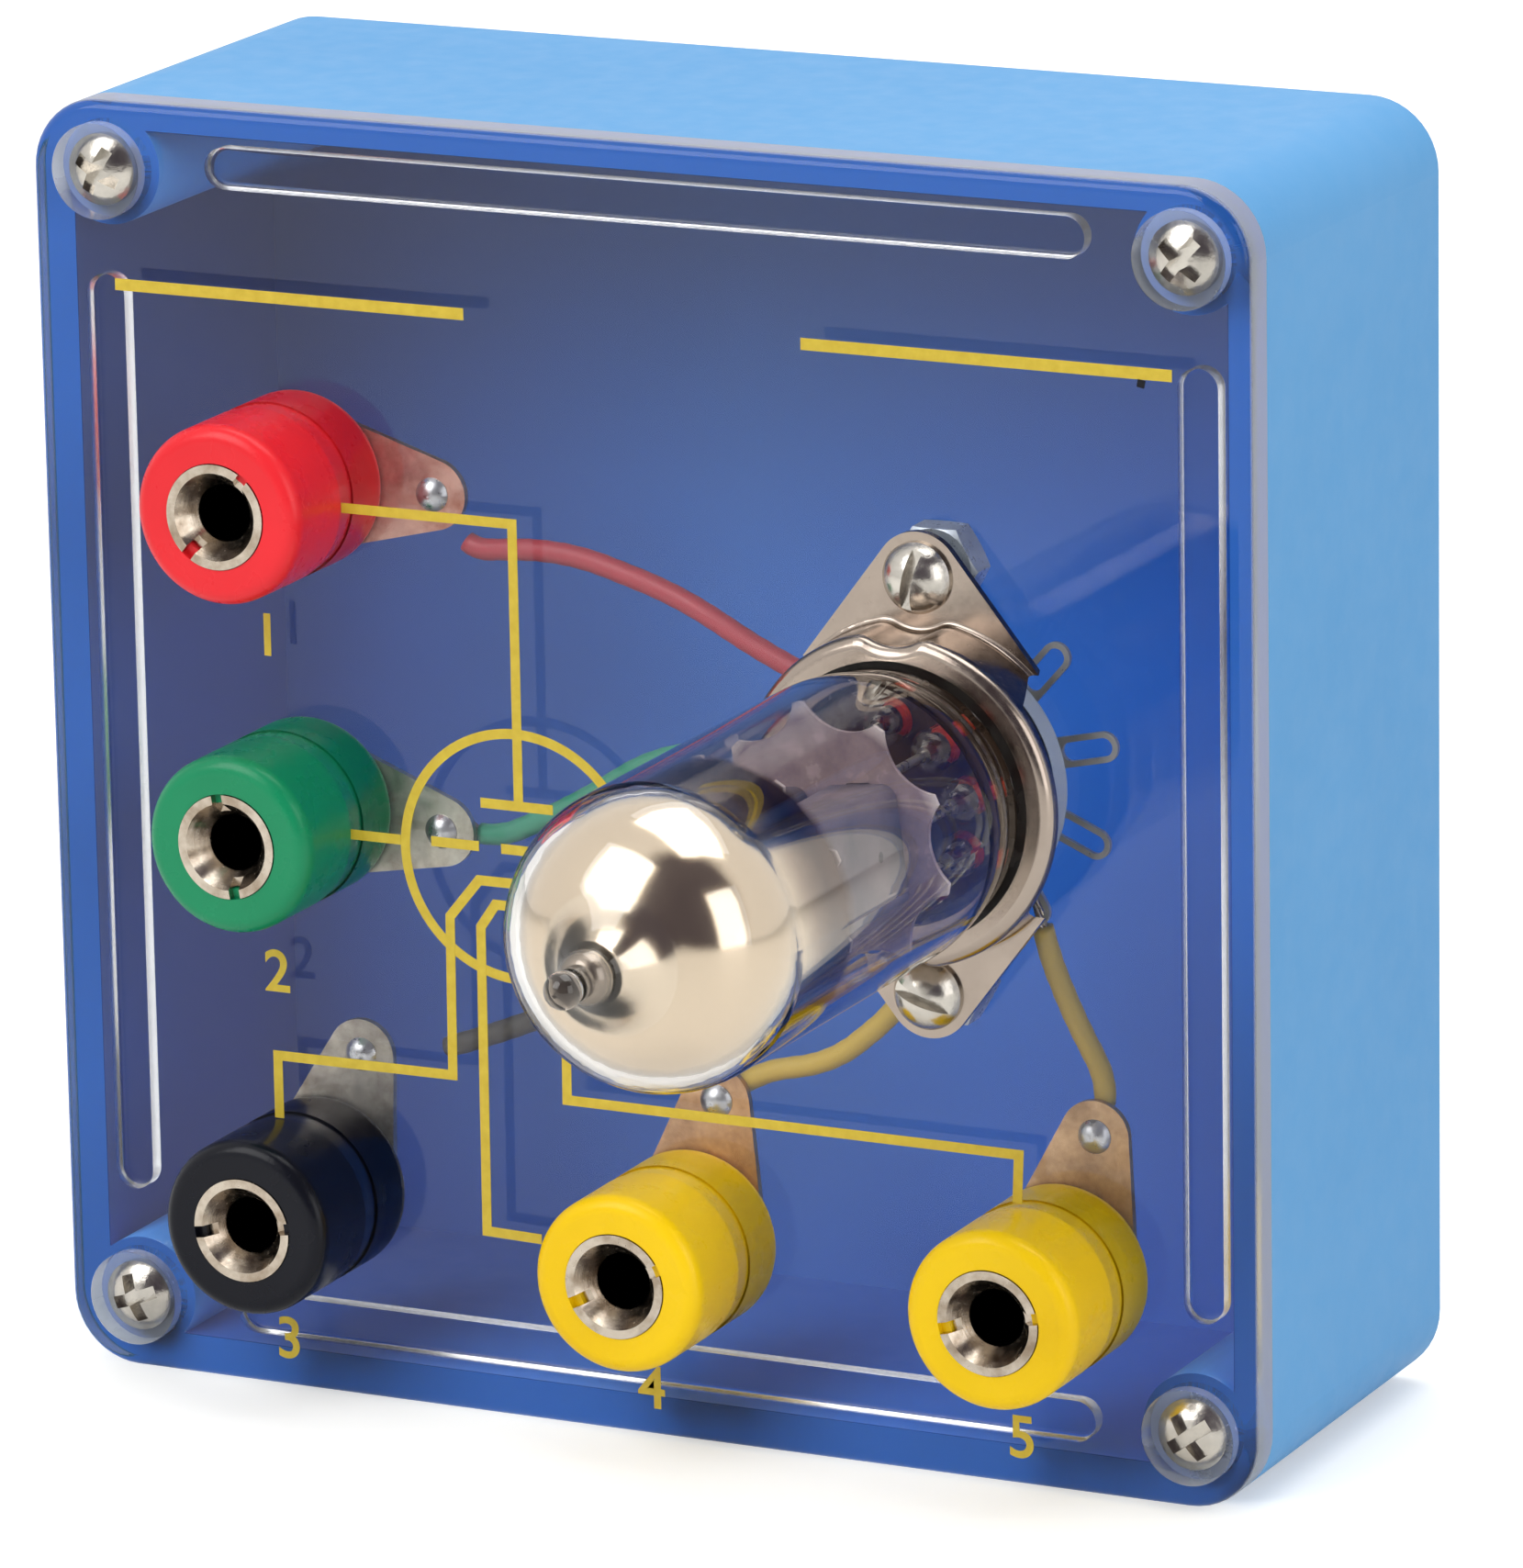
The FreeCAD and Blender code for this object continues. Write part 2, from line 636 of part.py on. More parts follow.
def glass_inside():
    r = bulb_r - glass_t
    corner_r = dome_corner_r - glass_t
    centre = (r - corner_r, dome_start_h)
    heel = heel_r - glass_t
    start_h = button_t + shoulder_start
    profile = lines([(0, button_t), (heel, button_t), (heel, start_h), (r, shoulder_h), (r, dome_start_h)])
    dome_top = (centre[0], centre[1] + corner_r)
    profile.append(arc((r, dome_start_h), on_corner(*centre, corner_r, 45), dome_top))
    channel_r = tip_neck_r / 2
    channel_end = (tip_root_h + tip_neck_h) / 2
    profile += lines([dome_top, (channel_r, dome_top[1]), (0, channel_end), (0, button_t)])
    return turned(holder_at, seat_y, profile)


def tube_glass():
    """Bulb, button base and exhaust tip: one sealed piece of glass, with a bead round each pin."""
    glass = glass_outside().cut(glass_inside())
    inner_y = seat_y - button_t
    for turn in pin_turns().values():
        at = polar(holder_at, pin_circle_r, turn)
        round_y = inner_y - bead_h + bead_r
        bead = rod(at, bead_r, round_y, inner_y).fuse(Part.makeSphere(bead_r, spot(at, round_y)))
        glass = glass.fuse(bead.common(rod(at, bead_r, inner_y - bead_h, inner_y)))
    for turn in pin_turns().values():
        at = polar(holder_at, pin_circle_r, turn)
        glass = glass.cut(rod(at, pin_r, inner_y - bead_h, seat_y))
    return glass.removeSplitter()


def tube_pins():
    """Nine identical pins, each with its round end and the lead that carries on to the lower mica."""
    top_y = seat_y - button_t - bead_h
    mica_y = seat_y - mica_low_h
    solids = []
    for turn in pin_turns().values():
        at = polar(holder_at, pin_circle_r, turn)
        pin = rod(at, pin_r, top_y, seat_y + pin_length - pin_r)
        pin = pin.fuse(Part.makeSphere(pin_r, spot(at, seat_y + pin_length - pin_r)))
        pin = pin.fuse(rod(at, lead_r, mica_y, top_y))
        solids.append(pin.removeSplitter())
    return Part.makeCompound(solids)


def anode_places():
    return {"a": polar(holder_at, anode_spacing / 2, anode_turn),
            "b": polar(holder_at, anode_spacing / 2, anode_turn + 180)}


def grid_rods(at):
    return [polar(at, grid_half_span, anode_turn + side) for side in (90, -90)]


def tab_places(at):
    return [polar(at, anode_l / 2 - anode_t / 2, anode_turn + side) for side in (90, -90)]


def mica(height):
    """Mica disc that centres the electrodes in the glass: a tooth is left between each two hollows."""
    y0 = seat_y - height - mica_t
    y1 = seat_y - height
    tip_r = mica_r + mica_tooth_length
    half_pitch = math.pi / mica_teeth - mica_tooth_tip_w / 2 / tip_r
    half_chord = tip_r * math.sin(half_pitch)
    depth = tip_r * math.cos(half_pitch) - mica_r
    hollow_r = (half_chord ** 2 + depth ** 2) / (2 * depth)
    disc = rod(holder_at, tip_r, y0, y1)
    for i in range(mica_teeth):
        turn = mica_first_tooth_turn + 360 / mica_teeth * (i + 0.5)
        disc = disc.cut(rod(polar(holder_at, mica_r + hollow_r, turn), hollow_r, y0, y1))
    for at in anode_places().values():
        disc = disc.cut(rod(at, cathode_r + slip, y0, y1))
        for place in grid_rods(at):
            disc = disc.cut(rod(place, grid_rod_r + slip, y0, y1))
        for place in tab_places(at):
            disc = disc.cut(block(place, anode_t + 2 * slip, tab_w + 2 * slip, y0, y1, anode_turn + 90))
    return disc.removeSplitter()


def anode(at, outward):
    """Box anode: a thin four-sided shell with tabs through both micas and a hole in its outer side."""
    front_y = seat_y - mica_high_h + anode_end_gap
    back_y = seat_y - mica_low_h - mica_t - anode_end_gap

    def box(inset, y0, y1):
        solid = block(at, anode_w - 2 * inset, anode_l - 2 * inset, y0, y1)
        upright = [e for e in solid.Edges if abs(e.BoundBox.YLength - (y1 - y0)) < 1e-4]
        solid = solid.makeFillet(anode_corner_r - inset, upright)
        solid.rotate(spot(at, y0), FRONT, anode_turn)
        return solid

    shell = box(0, front_y, back_y).cut(box(anode_t, front_y, back_y))
    for place in tab_places(at):
        shell = shell.fuse(block(place, anode_t, tab_w, front_y - mica_t - anode_end_gap - tab_length,
                                 back_y + mica_t + anode_end_gap + tab_length, anode_turn + 90))
    hole_y = back_y - anode_hole_rise
    hole = Part.makeCylinder(anode_hole_r, anode_w, spot(at, hole_y), Vector(1, 0, 0))
    hole.rotate(spot(at, hole_y), FRONT, outward)
    return shell.cut(hole).cut(box(anode_t, front_y, back_y)).removeSplitter()


def grid(at):
    """Control grid: two rods in the micas with flat turns of wire round them."""
    front_y = seat_y - mica_high_h - mica_t - cathode_over / 2
    back_y = seat_y - mica_low_h + cathode_over / 2
    places = grid_rods(at)
    solid = rod(places[0], grid_rod_r, front_y, back_y).fuse(rod(places[1], grid_rod_r, front_y, back_y))
    span = mica_high_h - mica_low_h
    length = 2 * (grid_half_span + grid_rod_r - grid_wire_r)
    width = 2 * grid_half_t
    wall = 4 * grid_wire_r
    for i in range(grid_turns):
        y = seat_y - mica_low_h - span * (i + 1) / (grid_turns + 1)
        outer = stadium(at, length, width, anode_turn + 90)
        inner = stadium(at, length - wall, width - wall, anode_turn + 90)
        loop = face_prism(outer, y - grid_wire_r, y + grid_wire_r)
        solid = solid.fuse(loop.cut(face_prism(inner, y - grid_wire_r, y + grid_wire_r)))
    return solid.removeSplitter()


def cathode(at):
    """Cathode sleeve, held at both ends by the micas."""
    front_y = seat_y - mica_high_h - mica_t - cathode_over
    back_y = seat_y - mica_low_h + cathode_over
    return ring(at, cathode_r, cathode_r - cathode_wall, front_y, back_y)


def heater(at):
    """Heater: a hairpin of coated wire inside the cathode, its legs drawn out at the base end."""
    front_y = seat_y - mica_high_h
    back_y = seat_y - mica_low_h + cathode_over + heater_drop
    half = heater_leg_gap / 2
    legs = [polar(at, half, anode_turn + side) for side in (90, -90)]
    solid = rod(legs[0], heater_r, front_y, back_y).fuse(rod(legs[1], heater_r, front_y, back_y))
    section = Part.Face(Part.Wire([Part.makeCircle(heater_r, spot(legs[0], front_y), BACK)]))
    across = spot(polar(at, half, anode_turn), front_y) - spot(at, front_y)
    bend = section.revolve(spot(at, front_y), across, 180)
    return solid.fuse(bend).removeSplitter()


def getter():
    """Getter ring on a stalk from the upper mica."""
    mica_front_y = seat_y - mica_high_h - mica_t
    ring_y = mica_front_y - getter_rise
    foot = polar(holder_at, getter_ring_r, anode_turn + 90)
    hoop = Part.makeTorus(getter_ring_r, getter_wire_r, spot(holder_at, ring_y), BACK)
    return hoop.fuse(rod(foot, getter_stalk_r, ring_y, mica_front_y)).removeSplitter()


def wire_path(points):
    """Straight runs joined by tangent arcs, each arc as large as its two runs allow."""
    edges = []
    radii = []
    last = points[0]
    for a, corner, b in zip(points, points[1:], points[2:]):
        run_in = corner - a
        run_out = b - corner
        half_turn = run_in.getAngle(run_out) / 2
        setback = 0.45 * min(run_in.Length, run_out.Length)
        start = corner - run_in.normalize() * setback
        end = corner + run_out.normalize() * setback
        radius = setback / math.tan(half_turn)
        toward = (start + end) * 0.5 - corner
        mid = corner + toward.normalize() * (radius / math.cos(half_turn) - radius)
        edges += [Part.makeLine(last, start), Part.Arc(start, mid, end).toShape()]
        radii.append(round(radius, 1))
        last = end
    edges.append(Part.makeLine(last, points[-1]))
    return Part.Wire(edges), radii


def hook_up_wire(name):
    """Insulated wire from the back of a solder tag to the back of a lug."""
    socket = sockets[name]
    run = wires[name]
    start = polar(socket["at"], tag_reach, socket["tag"])
    end = polar(holder_at, (lug_slot_inner + lug_reach) / 2, pin_turns()[run["lug"]])
    way = (end[0] - start[0], end[1] - start[1])
    aside = math.degrees(math.atan2(way[1], way[0])) + 90
    stops = []
    for share, off in run["stops"]:
        stops.append(polar((start[0] + way[0] * share, start[1] + way[1] * share), off, aside))
    stops.append(end)
    start_y = tag_back_y + slip + wire_d / 2
    end_y = body_back_y + contact_t + slip + wire_d / 2
    travel = [0.0]
    for a, b in zip(stops, stops[1:]):
        travel.append(travel[-1] + math.dist(a, b))
    points = [spot(start, start_y)]
    points += [spot(p, start_y + (end_y - start_y) * s / travel[-1]) for p, s in zip(stops, travel)]
    path, radii = wire_path(points)
    section = Part.Wire([Part.makeCircle(wire_d / 2, points[0], points[1] - points[0])])
    solid = path.makePipeShell([section], True, False)
    ideal = math.pi * wire_d ** 2 / 4 * path.Length
    print(name, "wire radii", radii, "volume over section times length", round(solid.Volume / ideal, 4))
    return solid


def solder():
    """Solder that fills each tag's hole and stands up in front of it."""
    solids = []
    for socket in sockets.values():
        at = polar(socket["at"], tag_reach, socket["tag"])
        plug = rod(at, tag_hole_r, bush_back_y, tag_back_y)
        dome = domed_head(at, bush_back_y, tag_hole_r + solder_edge, solder_rim_h, solder_dome_h)
        solids.append(plug.fuse(dome).removeSplitter())
    return Part.makeCompound(solids)


def save(name, shape):
    shape.exportStep("parts/" + name + ".step")


save("case_tray", case_tray())
save("lid", lid())
save("lid_screws", lid_screws())
for name, socket in sockets.items():
    save(name + "_socket_cap", socket_cap(socket["at"]))
    save(name + "_socket_bush", socket_bush(socket["at"]))
    save(name + "_socket_sleeve", socket_sleeve(socket["at"], socket["slots"]))
    save(name + "_solder_tag", socket_tag(socket["at"], socket["tag"]))
    save(name + "_wire", hook_up_wire(name))
save("socket_nuts", socket_nuts())
save("tag_solder", solder())
save("holder_saddle", holder_saddle())
save("holder_body", holder_body())
for place, turn in pin_turns().items():
    save("holder_contact_%d" % place, contact(turn))
save("holder_screws", holder_screws())
save("holder_nuts", holder_nuts())
save("tube_glass", tube_glass())
save("tube_pins", tube_pins())
save("tube_lower_mica", mica(mica_low_h))
save("tube_upper_mica", mica(mica_high_h))
for letter, at in anode_places().items():
    outward = anode_turn if letter == "a" else anode_turn + 180
    save("tube_anode_" + letter, anode(at, outward))
    save("tube_grid_" + letter, grid(at))
    save("tube_cathode_" + letter, cathode(at))
    save("tube_heater_" + letter, heater(at))
save("tube_getter", getter())
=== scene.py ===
import math

import bpy
import bmesh
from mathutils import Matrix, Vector


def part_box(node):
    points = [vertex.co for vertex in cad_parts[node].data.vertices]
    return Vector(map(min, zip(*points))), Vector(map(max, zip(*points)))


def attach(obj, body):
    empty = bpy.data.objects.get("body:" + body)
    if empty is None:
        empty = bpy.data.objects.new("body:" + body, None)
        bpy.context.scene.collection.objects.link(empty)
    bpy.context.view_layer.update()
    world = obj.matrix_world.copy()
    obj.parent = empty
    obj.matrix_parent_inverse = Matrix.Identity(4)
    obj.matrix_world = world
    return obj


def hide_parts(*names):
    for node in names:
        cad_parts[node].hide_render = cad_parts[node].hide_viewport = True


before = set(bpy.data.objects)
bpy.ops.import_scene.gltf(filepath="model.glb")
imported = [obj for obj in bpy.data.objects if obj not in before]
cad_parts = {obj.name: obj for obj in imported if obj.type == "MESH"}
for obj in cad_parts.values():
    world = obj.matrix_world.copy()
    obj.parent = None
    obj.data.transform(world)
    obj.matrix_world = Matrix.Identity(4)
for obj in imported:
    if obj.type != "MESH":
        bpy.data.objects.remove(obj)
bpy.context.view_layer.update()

# Lengths here are in metres. A place on the lid is (x, z) in millimetres from the lid's centre.
MM = 0.001

# Camera, fitted to the case's edges in the photograph
camera_place = (0.314792, -0.644038, 0.232107)
camera_turn = (75.1528, 0.9896, 25.6876)
camera_lens = 247.21

# What the CAD nodes fix
lid_low, lid_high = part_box("lid")
lid_face_y = lid_low.y
lid_centre = Vector(((lid_low.x + lid_high.x) / 2, lid_face_y, (lid_low.z + lid_high.z) / 2))
glass_low, glass_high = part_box("tube_glass")
mica_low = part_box("tube_upper_mica")[0]
tube_axis = Vector(((glass_low.x + glass_high.x) / 2, 0, (glass_low.z + glass_high.z) / 2))
bulb_r = (glass_high.x - glass_low.x) / 2
seat_y = glass_high.y
bush_and_tag = 4.9 * MM
lid_back_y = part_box("socket_nuts")[0].y - bush_and_tag
lid_half_w = (lid_high.x - lid_low.x) / 2
lid_corner_r = 5.0 * MM
lid_screw_at = lid_half_w - 4.95 * MM
recess_r = 3.35 * MM
hole_r = 9.35 * MM
post_r = 4.05 * MM
inner_half_w = 42.9 * MM
inner_back_y = 15.2 * MM
cap_face_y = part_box("anode_socket_cap")[0].y

socket_names = ("anode", "grid", "cathode", "heater_a", "heater_b")
colours = {"anode": "red", "grid": "green", "cathode": "black", "heater_a": "yellow", "heater_b": "yellow"}

# Where the finishes, the painted shade and the painted light change along the object
case_shade_from = 4 * MM
case_shade_to = 36 * MM
case_skin = 0.1 * MM
lid_edge_skin = 0.12 * MM
bore_painted_shade_from = 1.3 * MM
bore_painted_shade_to = 1.7 * MM
seal_low = 0.8 * MM
seal_high = 3.1 * MM
tip_dull_from = 45.4 * MM
tip_dull_to = 46.2 * MM
clear_tint = (0.985, 0.99, 0.995, 1)
lamp_tint = (0.96, 0.97, 0.98, 1)


def on_lid(x, z, depth=0.0):
    """Point over a place on the lid, behind its face by the depth, all in millimetres."""
    return lid_centre + Vector((x * MM, depth * MM, z * MM))


def linear(*rgb):
    """Linear colour for a colour given as it shows on a screen, from 0 to 255."""
    parts = []
    for value in rgb:
        share = value / 255
        parts.append(share / 12.92 if share < 0.04045 else ((share + 0.055) / 1.055) ** 2.4)
    return (*parts, 1.0)


class Look:
    """The node tree of one material, with a short call for each kind of node that this scene uses."""

    def __init__(self, name, **values):
        self.material = bpy.data.materials.new(name)
        self.material.use_nodes = True
        self.tree = self.material.node_tree
        self.tree.nodes.clear()
        self.output = self.tree.nodes.new("ShaderNodeOutputMaterial")
        self.shader = self.add("ShaderNodeBsdfPrincipled")
        self.link(self.shader.outputs[0], self.output.inputs[0])
        self.place = self.add("ShaderNodeTexCoord").outputs["Object"]
        for socket, value in values.items():
            self.shader.inputs[socket.replace("_", " ")].default_value = value

    def add(self, kind, **settings):
        node = self.tree.nodes.new(kind)
        for name, value in settings.items():
            setattr(node, name, value)
        return node

    def link(self, source, target):
        self.tree.links.new(source, target)

    def feed(self, socket, source):
        self.link(source, self.shader.inputs[socket])

    def stretch(self, scale, turn=(0, 0, 0), move=(0, 0, 0)):
        """The place of a point, moved, turned and scaled for a texture that runs one way."""
        node = self.add("ShaderNodeMapping")
        self.link(self.place, node.inputs[0])
        node.inputs["Location"].default_value = move
        node.inputs["Rotation"].default_value = turn
        node.inputs["Scale"].default_value = scale
        return node.outputs[0]

    def noise(self, per_mm, detail=2.0, rough=0.5, place=None):
        node = self.add("ShaderNodeTexNoise")
        self.link(place or self.place, node.inputs["Vector"])
        node.inputs["Scale"].default_value = per_mm / MM
        node.inputs["Detail"].default_value = detail
        node.inputs["Roughness"].default_value = rough
        return node.outputs[0]

    def ramp(self, source, *stops):
        """Colour or grey by the source: each stop is a place from 0 to 1 and a colour or a grey."""
        node = self.add("ShaderNodeValToRGB")
        self.link(source, node.inputs[0])
        points = node.color_ramp.elements
        while len(points) < len(stops):
            points.new(0.5)
        for point, (place, colour) in zip(points, stops):
            point.position = place
            point.color = colour if isinstance(colour, tuple) else (colour, colour, colour, 1)
        return node.outputs[0]

    def between(self, source, low, high, start, end):
        """A number that goes from start to end as the source goes from low to high."""
        node = self.add("ShaderNodeMapRange")
        self.link(source, node.inputs[0])
        for socket, value in zip(node.inputs[1:5], (low, high, start, end)):
            socket.default_value = value
        return node.outputs[0]

    def math(self, operation, a, b=None, c=None):
        node = self.add("ShaderNodeMath", operation=operation)
        for socket, value in zip(node.inputs, (a, b, c)):
            if isinstance(value, (int, float)):
                socket.default_value = value
            elif value is not None:
                self.link(value, socket)
        return node.outputs[0]

    def axis(self, name):
        """One coordinate of the point, x, y or z, in metres."""
        node = self.add("ShaderNodeSeparateXYZ")
        self.link(self.place, node.inputs[0])
        return node.outputs["XYZ".index(name.upper())]

    def radius_from(self, x, z):
        """Distance of the point from a line along y, in metres."""
        away_x = self.math("SUBTRACT", self.axis("x"), x)
        away_z = self.math("SUBTRACT", self.axis("z"), z)
        return self.math("SQRT", self.math("ADD", self.math("MULTIPLY", away_x, away_x),
                                           self.math("MULTIPLY", away_z, away_z)))

    def beyond(self, half_w, corner_r):
        """Distance of the point outside a square with rounded corners about the lid's centre, in metres."""
        flat = half_w - corner_r
        out_x = self.math("MAXIMUM", self.math("SUBTRACT", self.math("ABSOLUTE", self.axis("x")), flat), 0.0)
        away_z = self.math("ABSOLUTE", self.math("SUBTRACT", self.axis("z"), lid_centre.z))
        out_z = self.math("MAXIMUM", self.math("SUBTRACT", away_z, flat), 0.0)
        reach = self.math("SQRT", self.math("ADD", self.math("MULTIPLY", out_x, out_x),
                                            self.math("MULTIPLY", out_z, out_z)))
        return self.math("SUBTRACT", reach, corner_r)

    def from_screws(self):
        """Distance of the point from the nearest lid screw's axis, in metres."""
        away_x = self.math("SUBTRACT", self.math("ABSOLUTE", self.axis("x")), lid_screw_at)
        tall = self.math("ABSOLUTE", self.math("SUBTRACT", self.axis("z"), lid_centre.z))
        away_z = self.math("SUBTRACT", tall, lid_screw_at)
        return self.math("SQRT", self.math("ADD", self.math("MULTIPLY", away_x, away_x),
                                           self.math("MULTIPLY", away_z, away_z)))

    def facing(self):
        """How far the surface turns away from the ray that meets it, from 0 to 1."""
        return self.add("ShaderNodeLayerWeight").outputs["Facing"]

    def mix(self, factor, a, b):
        node = self.add("ShaderNodeMix", data_type="RGBA")
        for socket, value in zip((node.inputs[0], node.inputs[6], node.inputs[7]), (factor, a, b)):
            if isinstance(value, (int, float, tuple)):
                socket.default_value = value
            else:
                self.link(value, socket)
        return node.outputs[2]

    def bump(self, *layers):
        """Surface relief: each layer is a height from 0 to 1 and its depth in millimetres."""
        normal = None
        for height, depth in layers:
            node = self.add("ShaderNodeBump")
            node.inputs["Distance"].default_value = depth * MM
            self.link(height, node.inputs["Height"])
            if normal:
                self.link(normal, node.inputs["Normal"])
            normal = node.outputs[0]
        self.feed("Normal", normal)

    def lets_light_through(self, tint):
        """Lamps shine straight through the glass, as through a thin clear wall."""
        clear = self.add("ShaderNodeBsdfTransparent")
        clear.inputs[0].default_value = tint
        choose = self.add("ShaderNodeMixShader")
        path = self.add("ShaderNodeLightPath")
        self.link(path.outputs["Is Shadow Ray"], choose.inputs[0])
        self.link(self.shader.outputs[0], choose.inputs[1])
        self.link(clear.outputs[0], choose.inputs[2])
        self.link(choose.outputs[0], self.output.inputs[0])


def moulded(name, colour, roughness=0.3, gloss=0.3, grain=0.01, dust=0.025):
    """Moulded plastic: faint flow marks, fine grain and a little dust."""
    look = Look(name, IOR=1.5, Specular_IOR_Level=gloss)
    flow = look.noise(0.06, 3)
    deep = tuple(c * 0.86 for c in colour[:3]) + (1,)
    pale = tuple(min(1, c * 1.06 + 0.004) for c in colour[:3]) + (1,)
    base = look.ramp(flow, (0.3, deep), (0.7, pale))
    specks = look.ramp(look.noise(2.3, 4, 0.7), (0.66, 0.0), (0.78, dust))
    look.feed("Base Color", look.mix(specks, base, linear(205, 205, 200)))
    look.feed("Roughness", look.between(look.noise(0.35, 4), 0.3, 0.7, roughness * 0.85, roughness * 1.2))
    look.bump((look.noise(3.2, 2), grain), (look.noise(0.12, 2), grain * 2))
    return look


def metal(name, colour, roughness=0.22, stains=0.3, grain=0.004, brush=None, metallic=1.0):
    """Plated or bare metal: uneven tone, fine marks and, where it was brushed, streaks one way."""
    look = Look(name, Metallic=metallic)
    tone = look.noise(0.25, 5, 0.6)
    dull = tuple(c * (1 - stains) for c in colour[:3]) + (1,)
    look.feed("Base Color", look.ramp(tone, (0.35, dull), (0.62, colour)))
    marks = look.noise(1.2, 5, 0.7)
    look.feed("Roughness", look.between(marks, 0.3, 0.75, roughness * 0.7, roughness * 1.5))
    layers = [(look.noise(2.6, 4, 0.6), grain)]
    if brush:
        layers.append((look.noise(1.0, 3, 0.6, look.stretch(*brush)), grain))
    look.bump(*layers)
    return look


def case_look():
    look = Look("case_blue", IOR=1.46, Specular_IOR_Level=0.25)
    base = look.ramp(look.noise(0.03, 3), (0.3, linear(84, 152, 206)), (0.7, linear(93, 159, 212)))
    # Inside the tray the colour is painted shade: darker, greyer blue on the left to vivid blue on the
    # right, and darker towards the top
    along = look.between(look.axis("x"), -40 * MM, 36 * MM, 0, 1)
    painted_shade_inside = look.ramp(along, (0.0, linear(48, 92, 182)), (0.45, linear(60, 120, 208)),
                       (1.0, linear(28, 104, 210)))
    shade_low = lid_centre.z + case_shade_from
    shade_high = lid_centre.z + case_shade_to
    upper = look.between(look.axis("z"), shade_low, shade_high, 0, 0.48)
    painted_shade_inside = look.mix(upper, painted_shade_inside, linear(14, 14, 20))
    # Mask of the inside of the tray, away from the screw posts, where that painted shade goes
    wide = look.math("LESS_THAN", look.math("ABSOLUTE", look.axis("x")), inner_half_w)
    tall = look.math("SUBTRACT", look.axis("z"), lid_centre.z)
    tall = look.math("LESS_THAN", look.math("ABSOLUTE", tall), inner_half_w)
    deep = look.math("LESS_THAN", look.axis("y"), inner_back_y)
    room = look.math("MULTIPLY", look.math("MULTIPLY", wide, tall), deep)
    room = look.math("MULTIPLY", room, look.math("GREATER_THAN", look.from_screws(), post_r))
    # Painted light: the rim's front face and the posts inside the lid's outline get a lighter blue that
    # stands in for light under the lid
    painted_light_rim = look.math("LESS_THAN", look.beyond(lid_half_w, lid_corner_r), -case_skin)
    painted_light_rim = look.math("MULTIPLY", painted_light_rim, deep)
    base = look.mix(painted_light_rim, base, linear(84, 162, 246))
    look.feed("Base Color", look.mix(room, base, painted_shade_inside))
    look.feed("Roughness", look.between(look.noise(0.5, 4), 0.3, 0.7, 0.4, 0.5))
    look.bump((look.noise(2.2, 3), 0.006), (look.noise(0.08, 2), 0.04))
    return look


def clear_look(name, ior, tint, scratches):
    look = Look(name, Transmission_Weight=1.0, IOR=ior, Roughness=0.0, Base_Color=tint)
    if scratches:
        streaks = look.noise(0.5, 4, 0.6, look.stretch((1, 1, 0.04), (0, 0.6, 0)))
        look.bump((look.noise(0.05, 2), scratches * 6), (streaks, scratches))
    look.lets_light_through(lamp_tint)
    return look


def bulb_look():
    """Clear glass, faintly brown from use, whose reflection is painted dark brown towards its outline."""
    look = clear_look("bulb_glass", 1.5, (0.96, 0.93, 0.89, 1), 0.0)
    # Painted reflection: the glass's reflection is tinted dark brown where the surface turns away from the
    # ray
    edge = look.between(look.facing(), 0.4, 0.9, 0, 1)
    look.feed("Specular Tint", look.mix(edge, (0.95, 0.95, 0.95, 1), (0.3, 0.24, 0.2, 1)))
    return look


def body_look():
    """Black moulding, browned under the tube."""
    look = moulded("body_black", linear(18, 13, 12), 0.25, dust=0.02)
    black = look.shader.inputs["Base Color"].links[0].from_socket
    under = look.between(look.radius_from(tube_axis.x, tube_axis.z), 7.4 * MM, 8.2 * MM, 1, 0)
    under = look.math("MULTIPLY", under, look.math("LESS_THAN", look.axis("y"), lid_face_y))
    look.feed("Base Color", look.mix(under, black, linear(98, 76, 60)))
    return look


def lid_look():
    """Clear lid, polished by hand marks, with the frosted wall of the hole that was cut for the holder."""
    look = clear_look("lid_acrylic", 1.49, clear_tint, 0.004)
    look.shader.inputs["Specular Tint"].default_value = (0.58, 0.58, 0.6, 1)
    away = look.radius_from(tube_axis.x, tube_axis.z)
    cut = look.between(away, hole_r + 0.03 * MM, hole_r + 0.05 * MM, 1, 0)
    rim = look.between(look.beyond(lid_half_w, lid_corner_r), -lid_edge_skin, -0.02 * MM, 0, 0.55)
    recess = look.between(look.from_screws(), recess_r + 0.02 * MM, recess_r + 0.06 * MM, 0.5, 0)
    recess = look.math("MULTIPLY", recess, look.math("GREATER_THAN", look.axis("y"), lid_face_y + 0.05 * MM))
    ribs = look.between(look.axis("y"), lid_back_y + 0.1 * MM, lid_back_y + 0.4 * MM, 0, 0.22)
    frost = look.math("MAXIMUM", look.math("MAXIMUM", cut, rim), recess)
    look.feed("Base Color", look.mix(frost, clear_tint, linear(178, 190, 204)))
    look.feed("Transmission Weight", look.math("SUBTRACT", 1.0, look.math("MULTIPLY", frost, 0.6)))
    marks = look.between(look.noise(0.3, 4, 0.7), 0.45, 0.8, 0, 0.05)
    rough = look.math("MAXIMUM", look.math("MULTIPLY", frost, 0.5), ribs)
    look.feed("Roughness", look.math("ADD", marks, rough))
    return look


